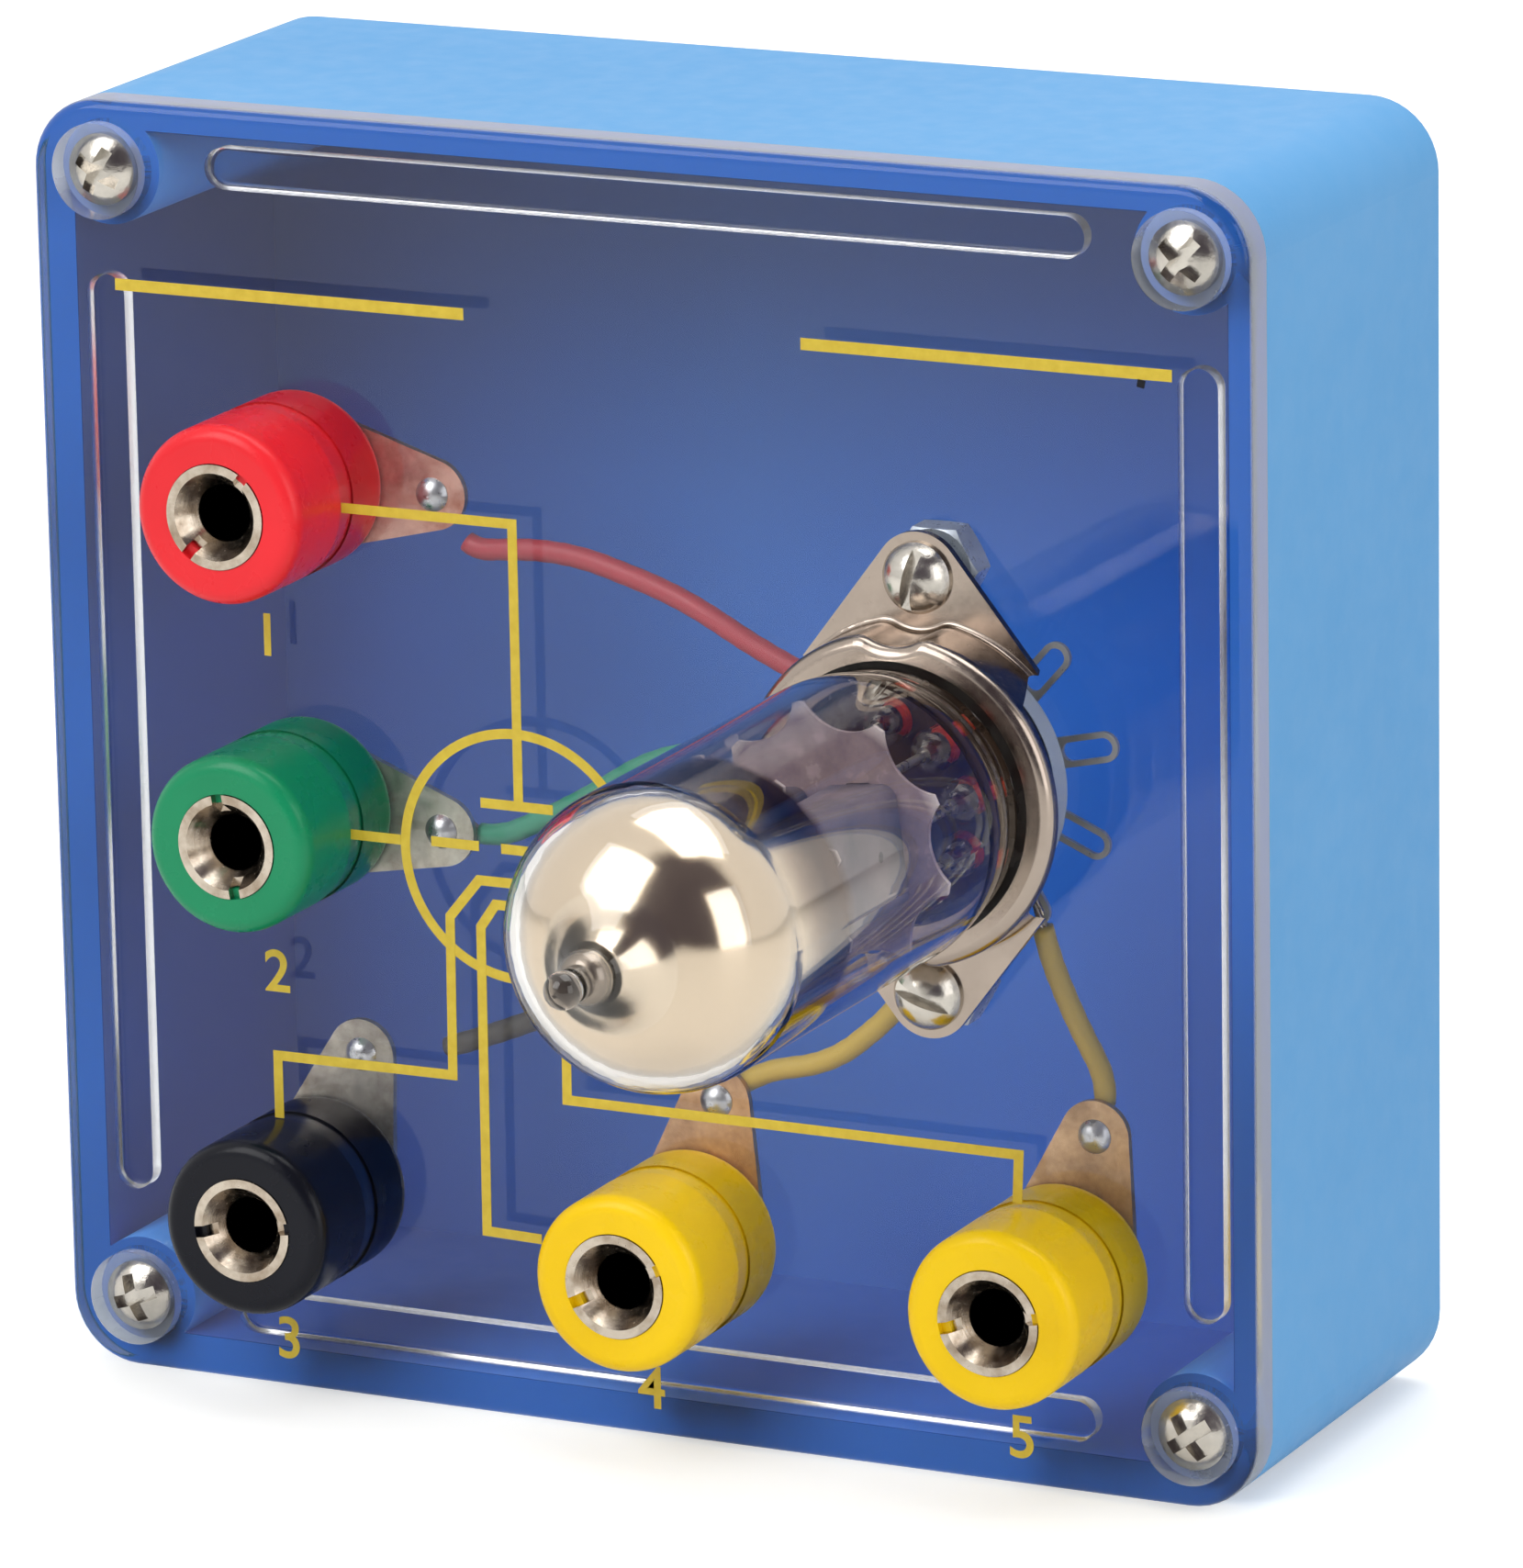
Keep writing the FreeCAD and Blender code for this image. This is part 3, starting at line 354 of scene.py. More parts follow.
def sleeve_look():
    """Nickel plate over brass, with the rings that the lathe left, and painted shade deep in the bore."""
    look = Look("sleeve_nickel", Metallic=1.0)
    tone = look.noise(0.5, 5, 0.6)
    plate = look.ramp(tone, (0.3, linear(150, 132, 112)), (0.6, linear(204, 192, 176)))
    # Painted shade: deeper in the bore the nickel is painted near-black
    deep = look.between(look.axis("y"), cap_face_y + bore_painted_shade_from, cap_face_y + bore_painted_shade_to, 0, 0.985)
    look.feed("Base Color", look.mix(deep, plate, linear(10, 12, 26)))
    look.feed("Roughness", look.between(look.noise(1.5, 4), 0.3, 0.7, 0.14, 0.3))
    look.bump((look.noise(1.0, 3, 0.6, look.stretch((0.15, 6, 0.15))), 0.006), (look.noise(3, 3), 0.003))
    return look


def tag_look(name, bright, dull):
    look = Look(name, Metallic=1.0)
    look.feed("Base Color", look.ramp(look.noise(0.3, 5, 0.65), (0.32, dull), (0.62, bright)))
    look.feed("Roughness", look.between(look.noise(0.8, 4), 0.3, 0.7, 0.28, 0.5))
    look.bump((look.noise(0.8, 3, 0.6, look.stretch((1, 1, 0.08))), 0.004))
    return look


def mica_look():
    look = Look("mica_sheet", IOR=1.56)
    layers = look.noise(0.4, 5, 0.65)
    sheet = look.ramp(layers, (0.3, linear(116, 100, 103)), (0.7, linear(158, 140, 143)))
    edge = look.between(look.radius_from(tube_axis.x, tube_axis.z), 8.2 * MM, 9.0 * MM, 0, 0.7)
    look.feed("Base Color", look.mix(edge, sheet, linear(222, 212, 212)))
    look.feed("Roughness", look.between(layers, 0.3, 0.7, 0.12, 0.35))
    look.bump((look.noise(1.4, 4), 0.01))
    return look


def anode_look():
    look = Look("anode_grey", Metallic=0.3, Specular_IOR_Level=0.2)
    tone = look.noise(0.25, 4, 0.55)
    look.feed("Base Color", look.ramp(tone, (0.3, linear(84, 82, 92)), (0.7, linear(124, 112, 118))))
    look.feed("Roughness", look.between(look.noise(1.2, 3), 0.3, 0.7, 0.4, 0.55))
    look.bump((look.noise(3.5, 3), 0.003))
    return look


def pin_look():
    """Nickel pins, copper red where the glass is sealed to them."""
    look = Look("pin_metal", Metallic=1.0)
    height = look.math("SUBTRACT", seat_y, look.axis("y"))
    above = look.math("GREATER_THAN", height, seal_low)
    below = look.math("LESS_THAN", height, seal_high)
    sealed = look.math("MULTIPLY", above, below)
    look.feed("Base Color", look.mix(sealed, linear(176, 172, 168), linear(222, 84, 58)))
    look.feed("Metallic", look.math("SUBTRACT", 1.0, look.math("MULTIPLY", sealed, 0.6)))
    look.feed("Roughness", look.between(look.noise(1.2, 4), 0.3, 0.7, 0.2, 0.4))
    return look


def film_look(edge_y):
    """Getter mirror: bright metal that thins to a brown fringe at its edge."""
    look = Look("getter_mirror", Metallic=1.0)
    wander = look.between(look.noise(0.12, 3), 0.3, 0.7, -0.8 * MM, 0.8 * MM)
    away = look.math("SUBTRACT", look.math("ADD", edge_y, wander), look.axis("y"))
    dome = look.ramp(look.between(away, 0, 7 * MM, 0, 1), (0.0, linear(96, 64, 40)),
                     (0.3, linear(88, 66, 52)), (0.55, linear(150, 132, 116)), (0.85, linear(222, 208, 188)))
    height = look.math("SUBTRACT", seat_y, look.axis("y"))
    tip = look.between(height, tip_dull_from, tip_dull_to, 0, 0.75)
    # Painted dark reflection: the mirror is painted darker brown where it turns away from the ray, towards
    # its outline
    edge = look.between(look.facing(), 0.62, 0.95, 0, 0.8)
    dome = look.mix(edge, dome, linear(92, 72, 58))
    look.feed("Base Color", look.mix(tip, dome, linear(96, 88, 84)))
    rough = look.between(away, 0, 3 * MM, 0.25, 0.14)
    look.feed("Roughness", look.math("ADD", rough, look.math("MULTIPLY", tip, 0.2)))
    look.feed("Alpha", look.between(away, -0.9 * MM, 0.3 * MM, 0, 1))
    return look


def print_look():
    look = Look("print_yellow", IOR=1.5)
    ink = look.noise(1.2, 4)
    look.feed("Base Color", look.ramp(ink, (0.3, linear(200, 172, 40)), (0.7, linear(214, 188, 56))))
    look.feed("Roughness", look.between(look.noise(2, 3), 0.3, 0.7, 0.4, 0.6))
    look.bump((look.noise(4, 3), 0.004))
    return look


clear_lid = lid_look()
bulb_glass = bulb_look()
plastics = {
    "red": moulded("plastic_red", linear(236, 34, 44), 0.28),
    "green": moulded("plastic_green", linear(6, 138, 90), 0.28),
    "black": moulded("plastic_black", linear(6, 8, 20), 0.25, 0.2, dust=0.01),
    "yellow": moulded("plastic_yellow", linear(254, 206, 0), 0.28, 0.22, dust=0.01),
}
insulations = {
    "red": moulded("insulation_red", linear(168, 52, 64), 0.4),
    "green": moulded("insulation_green", linear(60, 150, 120), 0.4),
    "black": moulded("insulation_black", linear(72, 68, 66), 0.45),
    "yellow": moulded("insulation_yellow", linear(196, 164, 70), 0.4),
}
tags = {
    "anode": tag_look("tag_red", linear(216, 178, 160), linear(166, 110, 92)),
    "grid": tag_look("tag_silver", linear(206, 200, 186), linear(150, 138, 122)),
    "cathode": tag_look("tag_dull", linear(186, 178, 166), linear(126, 114, 104)),
    "heater_a": tag_look("tag_copper_a", linear(206, 166, 128), linear(150, 110, 76)),
    "heater_b": tag_look("tag_copper_b", linear(206, 170, 132), linear(150, 114, 78)),
}
case_blue = case_look()
sleeve_nickel = sleeve_look()
screw_plate = metal("screw_plate", linear(214, 208, 198), 0.2, 0.35, 0.02)
nut_plate = metal("nut_plate", linear(206, 214, 224), 0.3, metallic=0.6)
brushed = ((0.08, 1, 1), (0, 0.5, 0))
saddle_plate = metal("saddle_plate", linear(172, 158, 146), 0.2, 0.1, 0.002, brush=brushed)
solder_tin = metal("solder_tin", linear(206, 206, 208), 0.3)
contact_tin = metal("contact_tin", linear(206, 204, 200), 0.35, metallic=0.5)
pin_metal = pin_look()
wire_metal = metal("wire_metal", linear(150, 150, 156), 0.25)
strand_tin = metal("strand_tin", linear(196, 184, 170), 0.28)
cathode_white = moulded("cathode_nickel", linear(176, 172, 168), 0.5)
heater_white = moulded("heater_white", linear(226, 224, 218), 0.7)
body_black = body_look()
mica_sheet = mica_look()
anode_grey = anode_look()
print_yellow = print_look()

finishes = {"case_tray": case_blue, "lid": clear_lid, "lid_screws": screw_plate, "socket_nuts": nut_plate,
            "tag_solder": solder_tin, "holder_saddle": saddle_plate, "holder_body": body_black,
            "holder_screws": screw_plate, "holder_nuts": nut_plate, "tube_glass": bulb_glass,
            "tube_pins": pin_metal, "tube_lower_mica": mica_sheet, "tube_upper_mica": mica_sheet,
            "tube_getter": wire_metal}
for name in socket_names:
    finishes[name + "_socket_cap"] = plastics[colours[name]]
    finishes[name + "_socket_bush"] = plastics[colours[name]]
    finishes[name + "_socket_sleeve"] = sleeve_nickel
    finishes[name + "_solder_tag"] = tags[name]
    finishes[name + "_wire"] = insulations[colours[name]]
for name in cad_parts:
    if name.startswith("holder_contact"):
        finishes[name] = contact_tin
for letter in "ab":
    finishes["tube_anode_" + letter] = anode_grey
    finishes["tube_grid_" + letter] = wire_metal
    finishes["tube_cathode_" + letter] = cathode_white
    finishes["tube_heater_" + letter] = heater_white


def dress(obj, look):
    obj.data.materials.clear()
    obj.data.materials.append(look.material)


for name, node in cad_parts.items():
    dress(node, finishes[name])


def add_piece(name, mesh, look):
    """A mesh that belongs to the object, with its finish."""
    obj = bpy.data.objects.new(name, mesh)
    bpy.context.scene.collection.objects.link(obj)
    dress(obj, look)
    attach(obj, "root")
    return obj


def mesh_from(build, name, smooth=True):
    """The mesh that a function draws into a bmesh."""
    shape = bmesh.new()
    build(shape)
    bmesh.ops.recalc_face_normals(shape, faces=shape.faces)
    mesh = bpy.data.meshes.new(name)
    shape.to_mesh(mesh)
    shape.free()
    if smooth:
        mesh.shade_smooth()
    return mesh


# The sockets' plastic in the thickness of the lid
collar_r = 6.1 * MM
collar_bore_r = 4.15 * MM
collar_slip = 0.02 * MM
same_place = 1e-7


def lathe(shape, profile, centre, turns=96):
    """Surface of revolution about a line along y. The profile is a list of (radius, y) points."""
    rings = []
    for r, y in profile:
        if r < 1e-6:
            rings.append([shape.verts.new((centre.x, y, centre.z))])
            continue
        angles = [math.tau * i / turns for i in range(turns)]
        ring = [(centre.x + r * math.cos(a), y, centre.z + r * math.sin(a)) for a in angles]
        rings.append([shape.verts.new(place) for place in ring])
    for a, b in zip(rings, rings[1:]):
        for i in range(turns):
            j = (i + 1) % turns
            corners = [a[i % len(a)], a[j % len(a)], b[j % len(b)], b[i % len(b)]]
            shape.faces.new(list(dict.fromkeys(corners)))


def add_collar(name):
    low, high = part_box(name + "_socket_cap")
    centre = (low + high) / 2
    front = lid_face_y + collar_slip
    back = lid_back_y - collar_slip

    def draw(shape):
        corners = [(collar_bore_r, front), (collar_r, front), (collar_r, back), (collar_bore_r, back)]
        lathe(shape, corners + corners[:1], centre)
        bmesh.ops.remove_doubles(shape, verts=shape.verts, dist=same_place)

    mesh = mesh_from(draw, "socket_collar_" + name, smooth=False)
    add_piece("socket_collar_" + name, mesh, plastics[colours[name]])


for name in socket_names:
    add_collar(name)

# The holder's body, slimmer behind the lid than in its hole
tail_r = 7.5 * MM
tail_step = 0.05 * MM


def add_holder_body():
    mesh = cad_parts["holder_body"].data.copy()
    shape = bmesh.new()
    shape.from_mesh(mesh)
    for y in (lid_back_y, lid_back_y + tail_step):
        everything = shape.verts[:] + shape.edges[:] + shape.faces[:]
        bmesh.ops.bisect_plane(shape, geom=everything, dist=same_place, plane_co=(0, y, 0),
                               plane_no=(0, 1, 0))
    for vert in shape.verts:
        away = Vector((vert.co.x - tube_axis.x, 0, vert.co.z - tube_axis.z))
        if vert.co.y > lid_back_y + tail_step / 2 and away.length > tail_r:
            vert.co -= away * (1 - tail_r / away.length)
    shape.to_mesh(mesh)
    shape.free()
    body = add_piece("holder_body_slim", mesh, body_black)
    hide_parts("holder_body")


add_holder_body()

# Wires: the stops of each wire from its tag to its lug, how much is stripped at the tag and how far its
# bare strands spread there, in millimetres
wire_r = 0.775
wire_runs = {
    "anode": ([(-18.21, 18.15), (-16.51, 14.15), (-8.60, 14.93), (0.29, 12.60), (6.75, 9.34),
               (12.57, 7.15)], 3.9, 0.0),
    "grid": ([(-18.15, -5.65), (-14.28, -6.02), (-8.57, -3.22), (-1.64, 1.19), (4.73, 2.39),
              (11.99, 1.03)], 2.4, 0.5),
    "cathode": ([(-24.88, -22.34), (-21.86, -22.62), (-14.41, -19.91), (-4.45, -15.30), (5.78, -10.24),
                 (15.12, -4.26)], 6.2, 0.1),
    "heater_a": ([(2.54, -22.65), (5.53, -20.56), (11.07, -19.17), (16.43, -14.62),
                  (20.76, -6.71)], 1.9, 0.1),
    "heater_b": ([(30.85, -21.96), (31.20, -18.35), (29.08, -13.94), (27.54, -9.75),
                  (26.76, -5.36)], 1.7, 0.1),
}
tag_depth = 7.65
wire_depth_at_tag = 8.725
wire_depth_at_lug = 7.175
lug_depth = 6.05
lug_strip = 2.0
strand_r = 0.13
strand_circle_r = 0.25
strand_turn_per_mm = 0.9
strand_cover = 0.8


def rounded(points, step=0.35):
    """Points along straight runs joined by tangent arcs, each as large as its two runs allow."""
    line = [points[0]]
    for before, corner, after in zip(points, points[1:], points[2:]):
        run_in = corner - before
        run_out = after - corner
        setback = 0.45 * min(run_in.length, run_out.length)
        sweep = run_in.angle(run_out)
        radius = setback / math.tan(sweep / 2)
        ahead = run_in.normalized()
        start = corner - ahead * setback
        inward = (run_out.normalized() - ahead * ahead.dot(run_out.normalized())).normalized()
        count = max(3, round(radius * sweep / (step * MM)))
        for i in range(count + 1):
            angle = sweep * i / count
            onward = ahead * (radius * math.sin(angle))
            line.append(start + onward + inward * (radius * (1 - math.cos(angle))))
    line.append(points[-1])
    return line


def even(line, step=0.4):
    """The same line with its points an even step apart, and the distance of each from its start."""
    total = sum((b - a).length for a, b in zip(line, line[1:]))
    count = round(total / (step * MM))
    out = [(line[0], 0.0)]
    travelled = 0.0
    for a, b in zip(line, line[1:]):
        span = (b - a).length
        while len(out) <= count and total * len(out) / count <= travelled + span + 1e-12:
            goal = total * len(out) / count
            out.append((a.lerp(b, (goal - travelled) / span), goal))
        travelled += span
    return out


def frames_along(line):
    """A side and an up direction at each point of the line, carried along without twist."""
    up = Vector((0, 1, 0))
    out = []
    for i in range(len(line)):
        ahead = (line[min(i + 1, len(line) - 1)] - line[max(i - 1, 0)]).normalized()
        up = (up - ahead * ahead.dot(up)).normalized()
        out.append((ahead.cross(up), up))
    return out


def tube(shape, line, radii, sides):
    """Closed tube round the line, with its own radius at each point."""
    rings = []
    for place, (side, up), r in zip(line, frames_along(line), radii):
        turns = [math.tau * i / sides for i in range(sides)]
        rings.append([shape.verts.new(place + (side * math.cos(a) + up * math.sin(a)) * r) for a in turns])
    for a, b in zip(rings, rings[1:]):
        for i in range(sides):
            shape.faces.new((a[i], a[(i + 1) % sides], b[(i + 1) % sides], b[i]))
    for ring in (rings[0], rings[-1]):
        shape.faces.new(ring)


def wire_centre(stops):
    """The wire's middle line, as the CAD wire has it."""
    runs = [math.dist(a, b) for a, b in zip(stops[1:], stops[2:])]
    fall = wire_depth_at_lug - wire_depth_at_tag
    depths = [wire_depth_at_tag]
    depths += [wire_depth_at_tag + fall * sum(runs[:i]) / sum(runs) for i in range(len(runs) + 1)]
    return rounded([on_lid(*stop, depth) for stop, depth in zip(stops, depths)])


def add_wire(name, number):
    stops, strip, spread = wire_runs[name]
    centre = wire_centre(stops)
    places = even(centre)
    total = places[-1][1]
    covered = [(p, s) for p, s in places if strip * MM <= s <= total - lug_strip * MM]

    def draw_cover(shape):
        radii = []
        for i, (place, s) in enumerate(covered):
            ends = min(s - covered[0][1], covered[-1][1] - s) / MM
            radii.append(wire_r * MM * (0.93 + 0.02 * math.sin(1.7 * i + number) + 0.05 * min(1, ends)))
        tube(shape, [p for p, s in covered], radii, 20)

    def draw_strands(shape):
        near = [p for p, s in places if s <= (strip + strand_cover) * MM]
        far = [p for p, s in places if s >= total - (lug_strip + strand_cover) * MM]
        front = on_lid(*stops[0], tag_depth)
        back = on_lid(*stops[-1], lug_depth)
        for line, gap in ((even([front] + near, 0.2), spread), (even(far + [back], 0.2), 0.0)):
            middle = [p for p, s in line]
            length = line[-1][1]
            for k in range(7):
                path = []
                for (place, s), (side, up) in zip(line, frames_along(middle)):
                    turn = math.tau * k / 6 + s / MM * strand_turn_per_mm
                    loose = gap * math.sin(math.pi * s / length) * (1 if k % 2 else 0.35)
                    r = (strand_circle_r + loose) * MM if k else 0
                    path.append(place + (side * math.cos(turn) + up * math.sin(turn)) * r)
                tube(shape, path, [strand_r * MM] * len(path), 8)

    cover = add_piece("insulation_" + name, mesh_from(draw_cover, "insulation_" + name),
                      insulations[colours[name]])
    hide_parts(name + "_wire")
    add_piece("strands_" + name, mesh_from(draw_strands, "strands_" + name), strand_tin)


for number, name in enumerate(socket_names):
    add_wire(name, number)

# Print on the lid
line_w = 0.7
rule_w = 0.82
ink_t = 0.03
ink_step = 0.003
symbol_at = (-9.0, -5.0)
symbol_r = 8.65
symbol_lines = [
    [(-21.9, 18.3), (-8.9, 18.3), (-8.9, -1.4)],
    [(-11.8, -1.4), (-6.3, -1.4)],
    [(-21.95, -4.65), (-18.0, -4.65)],
    [(-15.65, -4.5), (-12.0, -4.5)],
    [(-10.3, -4.5), (-7.7, -4.5)],
    [(-6.0, -4.5), (-2.35, -4.5)],
    [(-6.5, -6.85), (-12.06, -6.9), (-14.35, -9.7), (-14.45, -21.0), (-28.05, -21.1), (-28.05, -25.6)],
    [(-7.9, -32.0), (-12.1, -31.9), (-12.0, -10.2), (-10.84, -8.5), (-6.8, -8.5), (-5.65, -10.2),
     (-5.7, -21.8), (28.1, -21.8), (27.95, -25.2)],
]
rules = [[(-38.9, 32.5), (-12.2, 32.5)], [(12.9, 32.5), (39.7, 32.5)]]


def ink_strip(shape, points, width, layer, closed=False):
    """Flat line of ink through places on the lid, with square ends and mitred corners. Each layer stands a
    little higher than the one before it, so that crossing lines share no face."""
    top = -ink_t - layer * ink_step
    count = len(points)
    rows = []
    for i, (x, z) in enumerate(points):
        before = points[i - 1] if i or closed else points[i]
        after = points[(i + 1) % count] if i < count - 1 or closed else points[i]
        run_in = Vector((x - before[0], z - before[1]))
        run_out = Vector((after[0] - x, after[1] - z))
        run_in = run_in.normalized() if run_in.length else run_out.normalized()
        run_out = run_out.normalized() if run_out.length else run_in
        side = Vector((-run_in.y - run_out.y, run_in.x + run_out.x)).normalized()
        reach = width / 2 / max(0.3, side.dot(Vector((-run_in.y, run_in.x))))
        places = [(x + side.x * reach, z + side.y * reach), (x - side.x * reach, z - side.y * reach)]
        rows.append([shape.verts.new(on_lid(*place, depth)) for depth in (0, top) for place in places])
    for i in range(count if closed else count - 1):
        a, b = rows[i], rows[(i + 1) % count]
        for p, q in ((0, 1), (1, 3), (3, 2), (2, 0)):
            shape.faces.new((a[p], a[q], b[q], b[p]))
    if not closed:
        for row in (rows[0], rows[-1]):
            shape.faces.new((row[0], row[1], row[3], row[2]))


def circle_places(at, r, count):
    return [(at[0] + r * math.cos(math.tau * i / count), at[1] + r * math.sin(math.tau * i / count))
            for i in range(count)]


def draw_print(shape):
    for layer, points in enumerate(symbol_lines, 1):
        ink_strip(shape, points, line_w, layer)
    ink_strip(shape, circle_places(symbol_at, symbol_r, 96), line_w, 0, closed=True)
    for points in rules:
        ink_strip(shape, points, rule_w, 0)


add_piece("print_symbol", mesh_from(draw_print, "print_symbol", smooth=False), print_yellow)

# A dark fleck on the lid
fleck_at = (37.5, 31.81)
fleck_w = 0.55


def draw_fleck(shape):
    x, z = fleck_at
    ink_strip(shape, [(x - fleck_w / 2, z + 0.05), (x + fleck_w / 2, z - 0.05)], fleck_w, 0)


add_piece("lid_fleck", mesh_from(draw_fleck, "lid_fleck", smooth=False), plastics["black"])

# Plain numbers beside the sockets
number_places = {"1": (-27.9, 8.7), "2": (-27.9, -15.2), "3": (-27.8, -41.7), "4": (0.3, -41.8),
                 "5": (28.1, -41.8)}
number_size = 4.2
number_bolder = 0.06


def add_number(digit, place):
    text = bpy.data.curves.new("number_" + digit, "FONT")
    text.body = digit
    text.size = number_size * MM
    text.extrude = ink_t / 2 * MM
    text.offset = number_bolder * MM
    text.align_x = "CENTER"
    text.align_y = "CENTER"
    holder = bpy.data.objects.new("number_source_" + digit, text)
    bpy.context.scene.collection.objects.link(holder)
    holder.rotation_euler = (math.pi / 2, 0, 0)
    holder.location = on_lid(*place, -ink_t / 2)
    bpy.context.view_layer.update()
    final = holder.evaluated_get(bpy.context.evaluated_depsgraph_get())
    mesh = bpy.data.meshes.new_from_object(final)
    mesh.transform(holder.matrix_world)
    bpy.data.objects.remove(holder)
    add_piece("print_number_" + digit, mesh, print_yellow)


for digit, place in number_places.items():
    add_number(digit, place)

# Getter mirror inside the dome
glass_wall = 1.0 * MM
dome_corner_r = 8.0 * MM
dome_start_y = mica_low.y - 7.95 * MM
film_gap = 0.03 * MM
film_edge_y = mica_low.y - 0.4 * MM
film_foot_turn = math.radians(65)
dome_steps = 20
tip_steps = 8

# The mirror's way up the inside of the tip, as (radius, y) points
tip_bend = (3.1 * MM, seat_y - 42.7 * MM)
tip_root = (1.5 * MM, seat_y - 45.2 * MM)
tip_end = [(r * MM, seat_y - h * MM) for r, h in ((1.6, 45.9), (1.35, 46.5), (0.8, 46.9), (0.0, 47.0))]


def draw_film(shape):
    r = bulb_r - glass_wall - film_gap
    corner = dome_corner_r - glass_wall - film_gap
    centre_r = bulb_r - dome_corner_r
    profile = [(r, film_edge_y + 0.9 * MM), (r, film_edge_y - 1.5 * MM), (r, film_edge_y - 3 * MM),
               (r, dome_start_y)]
    for i in range(1, dome_steps + 1):
        angle = film_foot_turn * i / dome_steps
        profile.append((centre_r + corner * math.cos(angle), dome_start_y - corner * math.sin(angle)))
    foot_r, foot_y = profile[-1]
    for i in range(1, tip_steps + 1):
        t = i / tip_steps
        before, middle, after = (1 - t) ** 2, 2 * t * (1 - t), t ** 2
        profile.append((before * foot_r + middle * tip_bend[0] + after * tip_root[0],
                        before * foot_y + middle * tip_bend[1] + after * tip_root[1]))
    profile += tip_end
    lathe(shape, profile, tube_axis)


add_piece("getter_film", mesh_from(draw_film, "getter_film"), film_look(film_edge_y))

# Floor, room, lamps and camera
object_middle = (0, -0.02, 0.045)
floor_half_w = 6.0
floor_gap = 0.4 * MM
floor_lift = 0.38
floor_lift_shown = 0.1
room_level = 0.5
backdrop_level = 1.0
# A dark patch in the world that only reflections show: painted dark reflection
dark_reflection_at = (0.58, -0.72, 0.48)
dark_reflection_in = 32
dark_reflection_out = 48
dark_reflection_ragged = 0.14
dark_reflection_grain = 3.0
dark_reflection_tone = linear(84, 78, 88)
lamps = {
    "key": ((-0.35, -0.75, 0.75), (0.7, 0.7), 5.4),
    "top": ((0.1, 0.15, 0.9), (0.8, 0.6), 4.2),
    "right": ((0.9, -0.35, 0.35), (0.5, 0.7), 2.4),
}


def add_stage():
    """Pale floor with the object's shadow, white where the camera looks straight at it."""
    mesh = bpy.data.meshes.new("floor")
    corners = [(floor_half_w * x, floor_half_w * y, 0) for x, y in ((-1, -1), (1, -1), (1, 1), (-1, 1))]
    mesh.from_pydata(corners, [], [(0, 1, 2, 3)])
    floor = bpy.data.objects.new("floor", mesh)
    bpy.context.scene.collection.objects.link(floor)
    floor.location.z = -floor_gap
    look = Look("floor_pale", Roughness=0.6, Base_Color=linear(236, 236, 234),
                Emission_Color=(1, 1, 1, 1))
    path = look.add("ShaderNodeLightPath")
    shown = look.math("MAXIMUM", path.outputs["Is Glossy Ray"], path.outputs["Is Transmission Ray"])
    shown = look.math("MULTIPLY", shown, floor_lift_shown)
    seen = look.math("MULTIPLY", path.outputs["Is Camera Ray"], floor_lift)
    look.feed("Emission Strength", look.math("MAXIMUM", seen, shown))
    floor.data.materials.append(look.material)


def add_lamp(name, place, size, power):
    """Soft lamp that points at the object. Size in metres, power in watts."""
    light = bpy.data.lights.new(name, "AREA")
    light.shape = "RECTANGLE"
    light.size, light.size_y = size
    light.energy = power
    lamp = bpy.data.objects.new(name, light)
    bpy.context.scene.collection.objects.link(lamp)
    lamp.location = place
    lamp.rotation_euler = (Vector(object_middle) - Vector(place)).to_track_quat("-Z", "Y").to_euler()


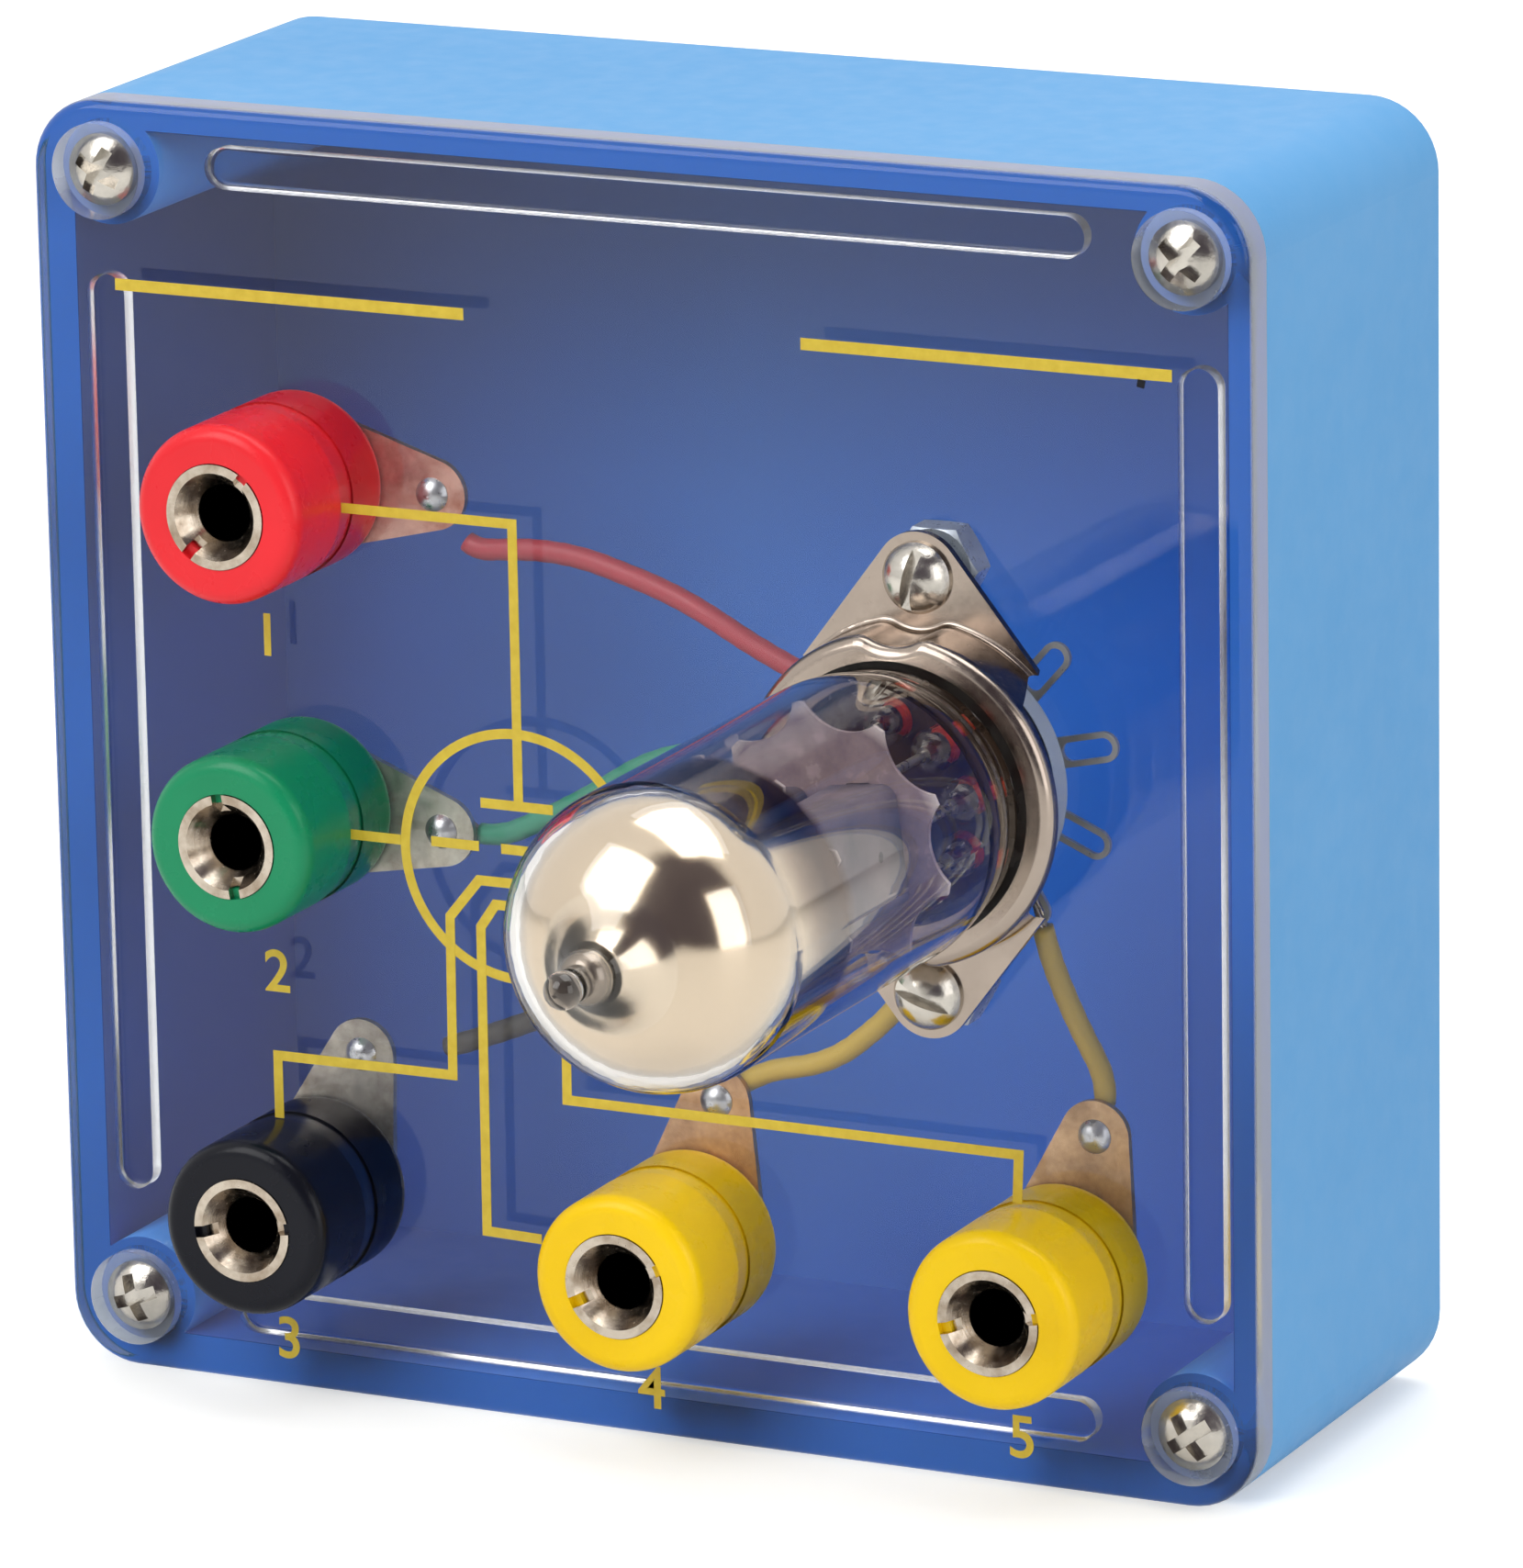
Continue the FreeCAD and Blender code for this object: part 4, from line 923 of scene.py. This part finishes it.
def painted_dark_reflection(tree):
    """White all round, apart from a ragged dark patch that only glossy rays see: a painted dark reflection,
    which lights nothing.
    """
    place = tree.nodes.new("ShaderNodeTexCoord")
    facing = tree.nodes.new("ShaderNodeVectorMath")
    facing.operation = "DOT_PRODUCT"
    tree.links.new(place.outputs["Generated"], facing.inputs[0])
    facing.inputs[1].default_value = Vector(dark_reflection_at).normalized()
    shade = tree.nodes.new("ShaderNodeMapRange")
    shade.interpolation_type = "SMOOTHSTEP"
    ragged = tree.nodes.new("ShaderNodeTexNoise")
    ragged.inputs["Scale"].default_value = dark_reflection_grain
    tree.links.new(place.outputs["Generated"], ragged.inputs["Vector"])
    shifted = tree.nodes.new("ShaderNodeMath")
    shifted.operation = "MULTIPLY_ADD"
    tree.links.new(ragged.outputs[0], shifted.inputs[0])
    shifted.inputs[1].default_value = dark_reflection_ragged
    tree.links.new(facing.outputs["Value"], shifted.inputs[2])
    tree.links.new(shifted.outputs[0], shade.inputs[0])
    starts = math.cos(math.radians(dark_reflection_out))
    full = math.cos(math.radians(dark_reflection_in))
    limits = (starts, full, 0.0, 1.0)
    for socket, value in zip(shade.inputs[1:5], limits):
        socket.default_value = value
    path = tree.nodes.new("ShaderNodeLightPath")
    gloss = tree.nodes.new("ShaderNodeMath")
    gloss.operation = "MULTIPLY"
    tree.links.new(shade.outputs[0], gloss.inputs[0])
    tree.links.new(path.outputs["Is Glossy Ray"], gloss.inputs[1])
    tone = tree.nodes.new("ShaderNodeMix")
    tone.data_type = "RGBA"
    tree.links.new(gloss.outputs[0], tone.inputs[0])
    tone.inputs[6].default_value = (1, 1, 1, 1)
    tone.inputs[7].default_value = dark_reflection_tone
    return tone.outputs[2]


def add_world():
    world = bpy.data.worlds.new("studio")
    world.use_nodes = True
    tree = world.node_tree
    tree.nodes.clear()
    output = tree.nodes.new("ShaderNodeOutputWorld")
    room = tree.nodes.new("ShaderNodeBackground")
    room.inputs[0].default_value = (1, 1, 1, 1)
    room.inputs[1].default_value = room_level
    white = tree.nodes.new("ShaderNodeBackground")
    white.inputs[1].default_value = backdrop_level
    tree.links.new(painted_dark_reflection(tree), white.inputs[0])
    choose = tree.nodes.new("ShaderNodeMixShader")
    path = tree.nodes.new("ShaderNodeLightPath")
    seen = path.outputs["Is Camera Ray"]
    for kind in ("Is Glossy Ray", "Is Transmission Ray"):
        either = tree.nodes.new("ShaderNodeMath")
        either.operation = "MAXIMUM"
        tree.links.new(seen, either.inputs[0])
        tree.links.new(path.outputs[kind], either.inputs[1])
        seen = either.outputs[0]
    tree.links.new(seen, choose.inputs[0])
    tree.links.new(room.outputs[0], choose.inputs[1])
    tree.links.new(white.outputs[0], choose.inputs[2])
    tree.links.new(choose.outputs[0], output.inputs[0])
    bpy.context.scene.world = world


def add_camera():
    lens = bpy.data.cameras.new("camera")
    lens.lens = camera_lens
    lens.sensor_width = 36
    lens.clip_start = 0.05
    lens.clip_end = 50
    camera = bpy.data.objects.new("camera", lens)
    bpy.context.scene.collection.objects.link(camera)
    camera.location = camera_place
    camera.rotation_euler = [math.radians(angle) for angle in camera_turn]
    bpy.context.scene.camera = camera


add_stage()
add_world()
for name, (place, size, power) in lamps.items():
    add_lamp(name, place, size, power)
add_camera()
bpy.context.scene.view_settings.view_transform = "Standard"
